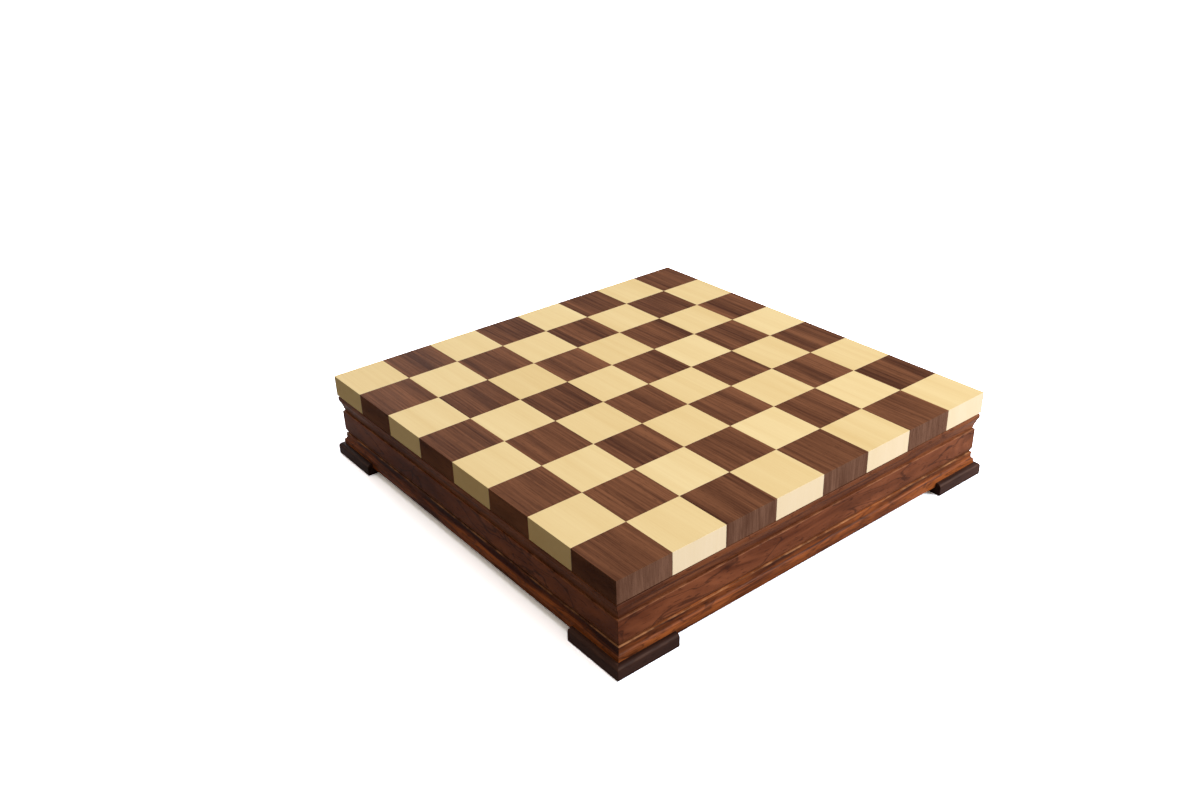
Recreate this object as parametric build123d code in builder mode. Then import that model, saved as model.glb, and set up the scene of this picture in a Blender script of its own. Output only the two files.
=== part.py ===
from build123d import *

import os
from itertools import pairwise
from math import atan2, cos, degrees, sin
from string import ascii_lowercase

# Multigame set: a chessboard of solid wooden blocks lifts off a moulded box that holds the games.
# The origin is on the floor under the middle of the box, +Z is up, and the front side faces -Y.
# All sizes are millimetres.

# Board of solid blocks, planed down a little along its edges after gluing
SQUARE = 50.0
SQUARES_PER_SIDE = 8
EDGE_TRIM = 1.5
BOARD_THICKNESS = 19.0
GLUE_LINE = 0.1

# Locating battens under the board
BATTEN_WIDTH = 12.0
BATTEN_DEPTH = 7.0
BATTEN_CLEARANCE = 1.0
BATTEN_LEAD_IN = 1.5

# Heights of the three mouldings that make up a side of the box, and of the gap under the board
CORNICE_HEIGHT = 14.1
FRIEZE_HEIGHT = 22.1
BASE_HEIGHT = 11.3
SHADOW_GAP = 1.5

# Depths of the mouldings, measured inwards from the lip of the cornice
LIP_SETBACK = 0.5
FRIEZE_SETBACK = 1.7
QUIRK_SETBACK = 3.3
BEAD_SETBACK = 1.9
MOULDING_DEPTH = 6.0
SIDE_THICKNESS = 12.0

# Steps and curves within the mouldings
LIP_HEIGHT = 3.5
CORNICE_SWELL = 0.4
FRIEZE_CHAMFER = 3.4
PLINTH_HEIGHT = 4.0
OGEE_HEIGHT = 2.4
OGEE_HOLLOW = 0.35
BEAD_CROWN = 0.7
ARRIS = 0.5

# Bottom of the box and its lining
PANEL_THICKNESS = 4.0
PANEL_RISE = 3.0
GROOVE_DEPTH = 6.0
FELT_THICKNESS = 1.2
FIT = 0.2

# Splines across the mitred corners
SPLINE_THICKNESS = 3.0
SPLINE_WIDTH = 5.6
SPLINE_MARGIN = 4.0

# Bracket feet
FOOT_HEIGHT = 11.0
FOOT_OVERHANG = 4.5
FOOT_LENGTH = 56.0
FOOT_WIDTH = 24.0
FOOT_ROUNDING = 3.5

# Dividers
DIVIDER_THICKNESS = 6.0
DIVIDER_LID_GAP = 1.8
SIDE_HOUSING = 3.0
CROSS_HOUSING = 2.0

# Chessmen, lying down
TURNING_FLATS = 16
KING_BASE = 30.0
KING_HEIGHT = 74.0
QUEEN_BASE = 29.0
QUEEN_HEIGHT = 67.0
BISHOP_BASE = 26.0
BISHOP_HEIGHT = 60.0
KNIGHT_BASE = 26.0
KNIGHT_HEIGHT = 52.0
ROOK_BASE = 26.0
ROOK_HEIGHT = 46.0
PAWN_BASE = 23.0
PAWN_HEIGHT = 38.0
MEN_GAP = 2.0
RIM_HEIGHT = 5.0
RIM_TAPER = 2.0
NECK_DIAMETER = 9.0
COLLAR_DIAMETER = 16.0
COLLAR_HEIGHT = 5.0
CROWN_DIAMETER = 19.0
CROWN_HEIGHT = 16.0
CROWN_DOME = 4.0
CROSS_HEIGHT = 9.0
CROSS_SPAN = 7.0
CROSS_THICKNESS = 3.0
FINIAL_DIAMETER = 6.0
FINIAL_HEIGHT = 6.0
MITRE_DIAMETER = 15.0
MITRE_HEIGHT = 22.0
MITRE_TAPER = 13.0
MITRE_SLIT = 2.0
TOWER_DIAMETER = 19.0
TOWER_HEIGHT = 9.0
TOWER_FLARE = 3.5
TOWER_WALL = 3.5
CRENEL_DEPTH = 4.0
CRENEL_WIDTH = 4.0
HORSE_PLINTH = 12.0
HORSE_THICKNESS = 11.0
HORSE_REACH = 12.0
HORSE_EAR = 4.0
HORSE_FACE = 15.0
HORSE_MUZZLE = 6.0
HORSE_JAW = 9.0
HORSE_CREST = 2.0
PAWN_HEAD_DIAMETER = 13.0
PAWN_HEAD_HEIGHT = 13.0
PAWN_NECK_DIAMETER = 7.0

# Other games
DRAUGHTS_PER_SIDE = 12
DRAUGHT_DIAMETER = 30.0
DRAUGHT_THICKNESS = 8.0
DRAUGHT_FLATS = 32
DOMINO_LENGTH = 46.0
DOMINO_WIDTH = 23.0
DOMINO_THICKNESS = 6.4
DOMINO_COUNT = 28
DOMINO_STACKS_ACROSS = 3
DOMINO_STACKS_ALONG = 2
DIE = 16.0
DIE_CHAMFER = 1.4
DICE_COUNT = 5
CARD_PACK_LENGTH = 89.0
CARD_PACK_WIDTH = 63.0
CARD_PACK_THICKNESS = 18.0
GAME_GAP = 0.15
DICE_GAP = 4.0
BAND_ROOM = 2.5

# Levels above the floor
BOX_BOTTOM = FOOT_HEIGHT
BASE_TOP = BOX_BOTTOM + BASE_HEIGHT
FRIEZE_TOP = BASE_TOP + FRIEZE_HEIGHT
CORNICE_TOP = FRIEZE_TOP + CORNICE_HEIGHT
BOX_TOP = CORNICE_TOP + SHADOW_GAP
PANEL_BOTTOM = BOX_BOTTOM + PANEL_RISE
PANEL_TOP = PANEL_BOTTOM + PANEL_THICKNESS
FLOOR = PANEL_TOP + FELT_THICKNESS
DIVIDER_TOP = BOX_TOP - BATTEN_DEPTH - DIVIDER_LID_GAP
REST = FLOOR + GAME_GAP

# Half widths from the middle of the box
BOARD_HALF = SQUARE * SQUARES_PER_SIDE / 2 - EDGE_TRIM
LIP_HALF = BOARD_HALF - LIP_SETBACK
FRIEZE_HALF = LIP_HALF - FRIEZE_SETBACK
QUIRK_HALF = LIP_HALF - QUIRK_SETBACK
BEAD_HALF = LIP_HALF - BEAD_SETBACK
SEAT_HALF = LIP_HALF - MOULDING_DEPTH
INNER_HALF = SEAT_HALF - SIDE_THICKNESS
FOOT_HALF = LIP_HALF + FOOT_OVERHANG
BATTEN_HALF = INNER_HALF - BATTEN_CLEARANCE

# Middle band of cells between the two chess compartments
DRAUGHT_ROLL = DRAUGHTS_PER_SIDE * (DRAUGHT_THICKNESS + GAME_GAP)
DOMINO_RUN = DOMINO_STACKS_ALONG * (DOMINO_LENGTH + GAME_GAP)
BAND_HALF = max(DRAUGHT_ROLL, DOMINO_RUN, CARD_PACK_LENGTH) / 2 + BAND_ROOM

UP = Vector(0, 0, 1)
SIDES = {
    "front": Vector(0, -1, 0),
    "right": Vector(1, 0, 0),
    "back": Vector(0, 1, 0),
    "left": Vector(-1, 0, 0),
}

os.makedirs("parts", exist_ok=True)


def save(shape, name):
    """Label a finished piece and write it to its own file."""
    shape.label = name
    export_step(shape, f"parts/{name}.step")


def side_plane(outward):
    """Plane across one side of the box: local X runs outwards, local Y up, local Z along the side."""
    return Plane((0, 0, 0), x_dir=outward, z_dir=outward.cross(UP))


def mitre(plane, ends=(1, -1)):
    """Trim the run being built to the corner planes at the given ends of its side."""
    for end in ends:
        split(bisect_by=Plane((0, 0, 0), z_dir=plane.x_dir - plane.z_dir * end), keep=Keep.TOP)


# Board: solid blocks of two woods, glued edge to edge; the near left corner is walnut
glue_joints = [(number - SQUARES_PER_SIDE / 2) * SQUARE for number in range(1, SQUARES_PER_SIDE)]
block_spans = list(pairwise([-BOARD_HALF, *glue_joints, BOARD_HALF]))
for parity, wood in enumerate(("walnut", "maple")):
    with BuildPart(Plane.XY.offset(BOX_TOP)) as squares:
        for column, (left, right) in enumerate(block_spans):
            for row, (near, far) in enumerate(block_spans):
                if (column + row) % 2 == parity:
                    with Locations(((left + right) / 2, (near + far) / 2)):
                        Box(
                            right - left - GLUE_LINE,
                            far - near - GLUE_LINE,
                            BOARD_THICKNESS,
                            align=(Align.CENTER, Align.CENTER, Align.MIN),
                        )
    save(squares.part, f"{wood}_squares")

# Battens that drop inside the box and keep the board in place
for side, outward in SIDES.items():
    long_side = side in ("front", "back")
    half_run = BATTEN_HALF if long_side else BATTEN_HALF - BATTEN_WIDTH
    with BuildPart() as batten:
        with BuildSketch(side_plane(outward)):
            with Locations((BATTEN_HALF - BATTEN_WIDTH / 2, BOX_TOP - BATTEN_DEPTH / 2)):
                Rectangle(BATTEN_WIDTH, BATTEN_DEPTH)
            lower_outer = vertices().group_by(Axis.Y)[0].sort_by(Axis.X)[-1]
            chamfer(lower_outer, BATTEN_LEAD_IN)
        extrude(amount=half_run, both=True)
    save(batten.part, f"{side}_batten")

# Mitred sides of the box: the frieze shows, the rebates above and below seat the mouldings
spline_middle = SEAT_HALF - SIDE_THICKNESS / 2 + SPLINE_THICKNESS / 2
spline_bottom = PANEL_TOP + SPLINE_MARGIN
spline_height = BOX_TOP - SPLINE_MARGIN - spline_bottom
spline_level = spline_bottom + spline_height / 2
corner_splines = [
    Location((x * spline_middle, y * spline_middle, spline_level), (0, 0, 45 * x * y))
    for x in (-1, 1)
    for y in (-1, 1)
]
divider_middle = BAND_HALF + DIVIDER_THICKNESS / 2
housing_height = DIVIDER_TOP + FIT - PANEL_TOP

for side, outward in SIDES.items():
    plane = side_plane(outward)
    with BuildPart() as side_board:
        with BuildSketch(plane):
            with BuildLine():
                Polyline(
                    (INNER_HALF, BOX_BOTTOM),
                    (SEAT_HALF, BOX_BOTTOM),
                    (SEAT_HALF, BASE_TOP),
                    (QUIRK_HALF, BASE_TOP),
                    (FRIEZE_HALF, BASE_TOP + FRIEZE_CHAMFER),
                    (FRIEZE_HALF, FRIEZE_TOP - ARRIS),
                    (FRIEZE_HALF - ARRIS, FRIEZE_TOP),
                    (SEAT_HALF, FRIEZE_TOP),
                    (SEAT_HALF, BOX_TOP),
                    (INNER_HALF, BOX_TOP),
                    close=True,
                )
            make_face()
        extrude(amount=LIP_HALF, both=True)
        with BuildSketch(plane):
            with Locations((INNER_HALF, PANEL_BOTTOM)):
                Rectangle(
                    GROOVE_DEPTH * 2, PANEL_THICKNESS + FIT, align=(Align.CENTER, Align.MIN)
                )
        extrude(amount=LIP_HALF, both=True, mode=Mode.SUBTRACT)
        mitre(plane)
        with Locations(*corner_splines):
            Box(SPLINE_THICKNESS, SPLINE_WIDTH, spline_height, mode=Mode.SUBTRACT)
        if side in ("left", "right"):
            with Locations(
                *[
                    (outward.X * INNER_HALF, y * divider_middle, PANEL_TOP + housing_height / 2)
                    for y in (-1, 1)
                ]
            ):
                Box(
                    SIDE_HOUSING * 2,
                    DIVIDER_THICKNESS + FIT * 2,
                    housing_height,
                    mode=Mode.SUBTRACT,
                )
    save(side_board.part, f"{side}_side_board")

with BuildPart() as mitre_splines:
    with Locations(*corner_splines):
        Box(SPLINE_THICKNESS, SPLINE_WIDTH, spline_height)
save(mitre_splines.part, "mitre_splines")

# Cornice: an upright lip over a gently swelling bevel; the board rests on the side boards above it
for side, outward in SIDES.items():
    plane = side_plane(outward)
    with BuildPart() as cornice:
        with BuildSketch(plane):
            with BuildLine():
                lip_foot = (LIP_HALF, CORNICE_TOP - LIP_HEIGHT)
                SagittaArc((QUIRK_HALF, FRIEZE_TOP), lip_foot, CORNICE_SWELL)
                Polyline(
                    lip_foot,
                    (LIP_HALF, CORNICE_TOP - ARRIS),
                    (LIP_HALF - ARRIS, CORNICE_TOP),
                    (SEAT_HALF, CORNICE_TOP),
                    (SEAT_HALF, FRIEZE_TOP),
                    (QUIRK_HALF, FRIEZE_TOP),
                )
            make_face()
        extrude(amount=LIP_HALF, both=True)
        mitre(plane)
    save(cornice.part, f"{side}_cornice")

# Base moulding: a plinth, a hollow and an upright bead with a crowned top
for side, outward in SIDES.items():
    plane = side_plane(outward)
    with BuildPart() as base_moulding:
        with BuildSketch(plane):
            with BuildLine():
                plinth_top = (LIP_HALF, BOX_BOTTOM + PLINTH_HEIGHT)
                bead_foot = (BEAD_HALF, BOX_BOTTOM + PLINTH_HEIGHT + OGEE_HEIGHT)
                SagittaArc(plinth_top, bead_foot, OGEE_HOLLOW)
                Polyline(
                    bead_foot,
                    (BEAD_HALF, BASE_TOP - BEAD_CROWN),
                    (QUIRK_HALF, BASE_TOP),
                    (SEAT_HALF, BASE_TOP),
                    (SEAT_HALF, BOX_BOTTOM),
                    (LIP_HALF, BOX_BOTTOM),
                    plinth_top,
                )
            make_face()
        extrude(amount=LIP_HALF, both=True)
        mitre(plane)
    save(base_moulding.part, f"{side}_base_moulding")

# Bottom panel in its groove, with a felt lining on top
panel_width = (INNER_HALF + GROOVE_DEPTH - FIT) * 2
with BuildPart(Plane.XY.offset(PANEL_BOTTOM)) as bottom_panel:
    Box(panel_width, panel_width, PANEL_THICKNESS, align=(Align.CENTER, Align.CENTER, Align.MIN))
save(bottom_panel.part, "bottom_panel")

felt_width = (INNER_HALF - FIT) * 2
with BuildPart(Plane.XY.offset(PANEL_TOP)) as felt_lining:
    Box(felt_width, felt_width, FELT_THICKNESS, align=(Align.CENTER, Align.CENTER, Align.MIN))
save(felt_lining.part, "felt_lining")


# Bracket feet: two short legs mitred together under each corner
def foot_leg(outward, end):
    """One leg along a side, at the given end of its run, with a rounded upper edge."""
    plane = side_plane(outward)
    with BuildPart() as leg:
        with BuildSketch(plane.offset(end * (FOOT_HALF - FOOT_LENGTH))):
            with Locations((FOOT_HALF - FOOT_WIDTH / 2, FOOT_HEIGHT / 2)):
                Rectangle(FOOT_WIDTH, FOOT_HEIGHT)
            upper_outer = vertices().group_by(Axis.Y)[-1].sort_by(Axis.X)[-1]
            fillet(upper_outer, FOOT_ROUNDING)
        extrude(amount=end * FOOT_LENGTH)
        mitre(plane, ends=(end,))
    return leg.part


for across in ("front", "back"):
    for along in ("left", "right"):
        first, second = SIDES[across], SIDES[along]
        legs = [
            foot_leg(outward, round(side_plane(outward).z_dir.dot(neighbour)))
            for outward, neighbour in ((first, second), (second, first))
        ]
        save(Compound(legs), f"{across}_{along}_foot")

# Cells of the middle band, from left to right, with what is left over shared among them
cell_contents = {
    "red_cards": CARD_PACK_WIDTH,
    "draughts": 2 * DRAUGHT_DIAMETER + GAME_GAP,
    "dominoes": DOMINO_STACKS_ACROSS * (DOMINO_WIDTH + GAME_GAP),
    "blue_cards": CARD_PACK_WIDTH,
    "dice": 2 * DIE + DICE_GAP,
}
cross_divider_count = len(cell_contents) - 1
spare_width = (
    INNER_HALF * 2 - sum(cell_contents.values()) - cross_divider_count * DIVIDER_THICKNESS
) / len(cell_contents)

cell_middles = {}
cross_divider_middles = []
edge = -INNER_HALF
for cell, width in cell_contents.items():
    cell_middles[cell] = edge + (width + spare_width) / 2
    edge += width + spare_width + DIVIDER_THICKNESS
    cross_divider_middles.append(edge - DIVIDER_THICKNESS / 2)
cross_divider_middles.pop()

# Two long dividers housed in the sides, with housings for the cross dividers
divider_height = DIVIDER_TOP - FLOOR
divider_centre = FLOOR + divider_height / 2
for side in ("front", "back"):
    towards = SIDES[side].Y
    with BuildPart() as long_divider:
        with Locations((0, towards * divider_middle, divider_centre)):
            Box((INNER_HALF + SIDE_HOUSING - FIT) * 2, DIVIDER_THICKNESS, divider_height)
        with Locations(*[(x, towards * BAND_HALF, divider_centre) for x in cross_divider_middles]):
            Box(
                DIVIDER_THICKNESS + FIT * 2,
                CROSS_HOUSING * 2,
                divider_height,
                mode=Mode.SUBTRACT,
            )
    save(long_divider.part, f"{side}_long_divider")

# Cross dividers between the cells
for number, middle in enumerate(cross_divider_middles, start=1):
    with BuildPart() as cross_divider:
        with Locations((middle, 0, divider_centre)):
            Box(DIVIDER_THICKNESS, (BAND_HALF + CROSS_HOUSING - FIT) * 2, divider_height)
    save(cross_divider.part, f"cross_divider_{number}")


# Chessmen: outlines of (radius, height) points from the foot up, turned with a ring of narrow flats
def foot_outline(base):
    """The base disc that every man stands on."""
    return [(base / 2, 0), (base / 2 - RIM_TAPER, RIM_HEIGHT)]


def collar(level):
    """A thin ring round the neck."""
    return [
        (NECK_DIAMETER / 2, level - COLLAR_HEIGHT / 2),
        (COLLAR_DIAMETER / 2, level),
        (NECK_DIAMETER / 2, level + COLLAR_HEIGHT / 2),
    ]


def crowned_outline(base, height):
    """King or queen: a tapering body, a collar, a flared crown and a low dome."""
    return [
        *foot_outline(base),
        *collar(height - CROWN_DOME - CROWN_HEIGHT),
        (CROWN_DIAMETER / 2, height - CROWN_DOME),
        (NECK_DIAMETER / 4, height),
    ]


KING_OUTLINE = crowned_outline(KING_BASE, KING_HEIGHT - CROSS_HEIGHT)
QUEEN_OUTLINE = [
    *crowned_outline(QUEEN_BASE, QUEEN_HEIGHT - FINIAL_HEIGHT),
    (FINIAL_DIAMETER / 2, QUEEN_HEIGHT - FINIAL_HEIGHT / 2),
    (NECK_DIAMETER / 4, QUEEN_HEIGHT),
]
BISHOP_OUTLINE = [
    *foot_outline(BISHOP_BASE),
    *collar(BISHOP_HEIGHT - MITRE_HEIGHT),
    (MITRE_DIAMETER / 2, BISHOP_HEIGHT - MITRE_TAPER),
    (NECK_DIAMETER / 4, BISHOP_HEIGHT),
]
ROOK_OUTLINE = [
    *foot_outline(ROOK_BASE),
    (TOWER_DIAMETER / 2 - TOWER_FLARE, ROOK_HEIGHT - TOWER_HEIGHT - TOWER_FLARE),
    (TOWER_DIAMETER / 2, ROOK_HEIGHT - TOWER_HEIGHT),
    (TOWER_DIAMETER / 2, ROOK_HEIGHT),
]
KNIGHT_OUTLINE = [
    *foot_outline(KNIGHT_BASE),
    (KNIGHT_BASE / 2 - RIM_TAPER * 2, HORSE_PLINTH),
]
PAWN_OUTLINE = [
    *foot_outline(PAWN_BASE),
    (PAWN_NECK_DIAMETER / 2, PAWN_HEIGHT - PAWN_HEAD_HEIGHT),
    (PAWN_HEAD_DIAMETER / 2, PAWN_HEIGHT - PAWN_HEAD_HEIGHT * 2 / 3),
    (PAWN_HEAD_DIAMETER / 2, PAWN_HEIGHT - PAWN_HEAD_HEIGHT / 3),
    (PAWN_NECK_DIAMETER / 2, PAWN_HEIGHT),
]


def flats(radius, count):
    """The round of a turned piece, as a ring of flats that touch a circle of the given radius."""
    RegularPolygon(radius, count, major_radius=False, rotation=180 / count)


def turn(outline):
    """Stack one tapered length per pair of points up the man's axis."""
    for (lower_radius, lower), (upper_radius, upper) in pairwise(outline):
        with BuildSketch(Plane.XY.offset(lower)) as blank:
            flats(max(lower_radius, upper_radius), TURNING_FLATS)
        taper = degrees(atan2(abs(upper_radius - lower_radius), upper - lower))
        length = extrude(blank.sketch, amount=upper - lower, taper=taper, mode=Mode.PRIVATE)
        if upper_radius > lower_radius:
            length = mirror(length, Plane.XY.offset((lower + upper) / 2), mode=Mode.PRIVATE)
        add(length)


# Each man is made once, standing at the origin
with BuildPart() as king:
    turn(KING_OUTLINE)
    with BuildSketch(Plane.XZ):
        with Locations((0, KING_HEIGHT)):
            Rectangle(
                CROSS_THICKNESS, CROSS_HEIGHT + CROWN_DOME / 2, align=(Align.CENTER, Align.MAX)
            )
        with Locations((0, KING_HEIGHT - CROSS_THICKNESS / 2)):
            Rectangle(CROSS_SPAN, CROSS_THICKNESS, align=(Align.CENTER, Align.MAX))
    extrude(amount=CROSS_THICKNESS / 2, both=True)

with BuildPart() as queen:
    turn(QUEEN_OUTLINE)

with BuildPart() as bishop:
    turn(BISHOP_OUTLINE)
    with BuildSketch(Plane.XY.offset(BISHOP_HEIGHT - MITRE_TAPER).rotated((-45, 0, 0))):
        with Locations((0, -MITRE_DIAMETER / 2)):
            Rectangle(MITRE_DIAMETER * 2, MITRE_DIAMETER)
    extrude(amount=MITRE_SLIT / 2, both=True, mode=Mode.SUBTRACT)

with BuildPart() as rook:
    turn(ROOK_OUTLINE)
    with BuildSketch(Plane.XY.offset(ROOK_HEIGHT)):
        Rectangle(TOWER_DIAMETER * 2, CRENEL_WIDTH)
        Rectangle(CRENEL_WIDTH, TOWER_DIAMETER * 2)
        flats(TOWER_DIAMETER / 2 - TOWER_WALL, TURNING_FLATS)
    extrude(amount=-CRENEL_DEPTH, mode=Mode.SUBTRACT)

with BuildPart() as knight:
    turn(KNIGHT_OUTLINE)
    back = KNIGHT_OUTLINE[-1][0]
    nape = (-HORSE_EAR, KNIGHT_HEIGHT - HORSE_EAR)
    nose = KNIGHT_HEIGHT - HORSE_FACE
    chin = nose - HORSE_MUZZLE
    throat = (HORSE_REACH - HORSE_JAW, chin)
    with BuildSketch(Plane.XZ):
        with BuildLine():
            SagittaArc((-back, HORSE_PLINTH), nape, HORSE_CREST)
            Polyline(
                nape,
                (0, KNIGHT_HEIGHT),
                (HORSE_EAR, KNIGHT_HEIGHT - HORSE_EAR),
                (HORSE_REACH, nose),
                (HORSE_REACH - HORSE_MUZZLE / 2, chin),
                throat,
            )
            SagittaArc(throat, (back, HORSE_PLINTH), HORSE_CREST)
            Line((back, HORSE_PLINTH), (-back, HORSE_PLINTH))
        make_face()
    extrude(amount=HORSE_THICKNESS / 2, both=True)

with BuildPart() as pawn:
    turn(PAWN_OUTLINE)


def laid(man, outline, x, y, heading):
    """A copy of a man lying down, its head towards heading, with foot and head both on the felt."""
    base_radius = outline[0][0]
    tilt = min(atan2(base_radius - radius, height) for radius, height in outline[1:])
    axis = heading * cos(tilt) - UP * sin(tilt)
    foot = Vector(x, y, REST + base_radius * cos(tilt)) + heading * (base_radius * sin(tilt))
    return man.part.moved(Plane(foot, x_dir=heading.cross(UP), z_dir=axis).location)


# The officers lie in the order of their files on the board
officers = {
    "rooks": (rook, ROOK_OUTLINE, "ah"),
    "knights": (knight, KNIGHT_OUTLINE + [(HORSE_THICKNESS / 2, KNIGHT_HEIGHT)], "bg"),
    "bishops": (bishop, BISHOP_OUTLINE, "cf"),
    "queen": (queen, QUEEN_OUTLINE, "d"),
    "king": (king, KING_OUTLINE, "e"),
}
file_width = INNER_HALF * 2 / SQUARES_PER_SIDE
file_middles = {
    letter: (number + 0.5) * file_width - INNER_HALF
    for number, letter in enumerate(ascii_lowercase[:SQUARES_PER_SIDE])
}

# Light men lie in the front compartment and dark men in the back one, pawns nearest the wall
for colour, side in (("light", "front"), ("dark", "back")):
    outward = SIDES[side]
    pawn_row = outward.Y * (INNER_HALF - MEN_GAP - PAWN_BASE / 2)
    officer_row = outward.Y * (INNER_HALF - MEN_GAP * 2 - PAWN_BASE)
    for name, (man, outline, files) in officers.items():
        men = [laid(man, outline, file_middles[f], officer_row, -outward) for f in files]
        save(Compound(men), f"{colour}_{name}")
    pawns = [
        laid(pawn, PAWN_OUTLINE, middle - PAWN_HEIGHT / 2, pawn_row, SIDES["right"])
        for middle in file_middles.values()
    ]
    save(Compound(pawns), f"{colour}_pawns")

# Draughts stand on edge in two rolls, one of each colour
for colour, towards in (("light", -1), ("dark", 1)):
    roll_x = cell_middles["draughts"] + towards * (DRAUGHT_DIAMETER + GAME_GAP) / 2
    roll_z = REST + DRAUGHT_DIAMETER / 2
    with BuildPart() as draughts:
        for number in range(DRAUGHTS_PER_SIDE):
            front = number * (DRAUGHT_THICKNESS + GAME_GAP) - DRAUGHT_ROLL / 2
            with BuildSketch(Plane((roll_x, front, roll_z), x_dir=(1, 0, 0), z_dir=(0, 1, 0))):
                flats(DRAUGHT_DIAMETER / 2, DRAUGHT_FLATS)
            extrude(amount=DRAUGHT_THICKNESS)
    save(draughts.part, f"{colour}_draughts")

# Dominoes lie in stacks, filled layer by layer
stacks = DOMINO_STACKS_ACROSS * DOMINO_STACKS_ALONG
with BuildPart() as dominoes:
    for number in range(DOMINO_COUNT):
        layer, stack = divmod(number, stacks)
        column, row = stack % DOMINO_STACKS_ACROSS, stack // DOMINO_STACKS_ACROSS
        x = (column - (DOMINO_STACKS_ACROSS - 1) / 2) * (DOMINO_WIDTH + GAME_GAP)
        y = (row - (DOMINO_STACKS_ALONG - 1) / 2) * (DOMINO_LENGTH + GAME_GAP)
        z = REST + (layer + 0.5) * (DOMINO_THICKNESS + GAME_GAP)
        with Locations((cell_middles["dominoes"] + x, y, z)):
            Box(DOMINO_WIDTH, DOMINO_LENGTH, DOMINO_THICKNESS)
save(dominoes.part, "dominoes")

# Dice in two columns
with BuildPart() as dice:
    for number in range(DICE_COUNT):
        row, column = divmod(number, 2)
        x = (column - 0.5) * (DIE + DICE_GAP)
        y = (row - DICE_COUNT // 4) * (DIE + DICE_GAP)
        with Locations((cell_middles["dice"] + x, y, REST + DIE / 2)):
            Box(DIE, DIE, DIE)
    chamfer(edges(), DIE_CHAMFER)
save(dice.part, "dice")

# Two packs of cards, lying flat
for colour in ("red", "blue"):
    with BuildPart() as card_pack:
        with Locations((cell_middles[f"{colour}_cards"], 0, REST + CARD_PACK_THICKNESS / 2)):
            Box(CARD_PACK_WIDTH, CARD_PACK_LENGTH, CARD_PACK_THICKNESS)
    save(card_pack.part, f"{colour}_card_pack")
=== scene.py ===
# %% [markdown]
# # A multigame set in wood
#
# A square box with moulded sides stands on bracket feet. A thick chessboard of solid walnut and maple
# blocks lies on it as the lid, and under the board are lined cells with chessmen, draughts, dominoes, dice
# and cards.
#
# The solids come from a CAD frame, in metres, which stays where it is. This lesson gives every wooden piece
# its finish, and turns, carves or cuts the games that lie inside.

from itertools import combinations_with_replacement, pairwise
from math import acos, atan2, copysign, cos, pi, radians, sin, tau
from random import Random

import bmesh
import bpy
from mathutils import Euler, Matrix, Vector, noise


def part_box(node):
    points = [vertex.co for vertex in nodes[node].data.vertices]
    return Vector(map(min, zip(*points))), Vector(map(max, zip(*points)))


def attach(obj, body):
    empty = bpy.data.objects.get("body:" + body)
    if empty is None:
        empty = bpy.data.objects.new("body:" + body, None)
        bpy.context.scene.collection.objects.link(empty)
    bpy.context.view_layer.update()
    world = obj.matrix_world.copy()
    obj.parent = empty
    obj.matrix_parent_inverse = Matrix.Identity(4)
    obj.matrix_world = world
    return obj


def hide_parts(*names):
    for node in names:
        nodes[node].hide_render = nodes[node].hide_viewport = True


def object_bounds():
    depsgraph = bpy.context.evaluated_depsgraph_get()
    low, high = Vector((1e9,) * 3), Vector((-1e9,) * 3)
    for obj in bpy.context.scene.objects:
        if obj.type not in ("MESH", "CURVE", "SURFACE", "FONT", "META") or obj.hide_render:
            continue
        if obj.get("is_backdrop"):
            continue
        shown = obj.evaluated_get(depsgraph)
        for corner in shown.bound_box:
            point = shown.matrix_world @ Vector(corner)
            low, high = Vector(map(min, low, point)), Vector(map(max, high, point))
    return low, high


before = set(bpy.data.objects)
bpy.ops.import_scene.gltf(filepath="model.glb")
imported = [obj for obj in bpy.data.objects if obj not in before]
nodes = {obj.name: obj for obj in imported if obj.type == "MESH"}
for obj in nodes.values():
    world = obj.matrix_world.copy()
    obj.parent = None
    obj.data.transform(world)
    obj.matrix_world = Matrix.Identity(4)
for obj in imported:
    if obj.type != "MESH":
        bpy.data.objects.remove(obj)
cad_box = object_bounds()
scene = bpy.context.scene
scene.view_settings.view_transform = "Standard"
MM = 0.001
UP = Vector((0, 0, 1))
width = cad_box[1].x - cad_box[0].x
print(f"{len(nodes)} solids, {width / MM:.0f} mm wide, {cad_box[1].z / MM:.0f} mm high")

# %% [markdown]
# ## Camera
#
# The camera looks down on the near corner, a little from the left. Its place and lens were worked out from
# the corners of the squares, whose places in the frame are known, so the squares land where they should. A
# camera could also be turned by hand until it looks right, but then every height on the box would be a
# little off.

# %% Camera
CAMERA_PLACE = Vector((-0.5554, -0.6502, 0.5120))
CAMERA_AIM = Vector((-0.0045, 0.0633, 0.0400))
CAMERA_ROLL = radians(-1.89)
LENS = 33.3
SENSOR_WIDTH = 36.0

camera = bpy.data.objects.new("camera", bpy.data.cameras.new("camera"))
scene.collection.objects.link(camera)
scene.camera = camera
camera.data.lens = LENS
camera.data.sensor_width = SENSOR_WIDTH
looking = (CAMERA_AIM - CAMERA_PLACE).to_track_quat("-Z", "Y").to_matrix().to_4x4()
camera.matrix_world = Matrix.Translation(CAMERA_PLACE) @ looking @ Matrix.Rotation(CAMERA_ROLL, 4, "Z")
print(f"camera {(CAMERA_AIM - CAMERA_PLACE).length:.2f} m from what it looks at")

# %% [markdown]
# ## Short ways to wire nodes
#
# Every finish below is a small tree of shader nodes. Wiring them one link at a time makes long code, so a
# helper adds a node, sets it and feeds its inputs in one line. Colours are written as hexadecimal digits,
# as a painter reads them from a swatch, and turned into linear light.


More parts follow.
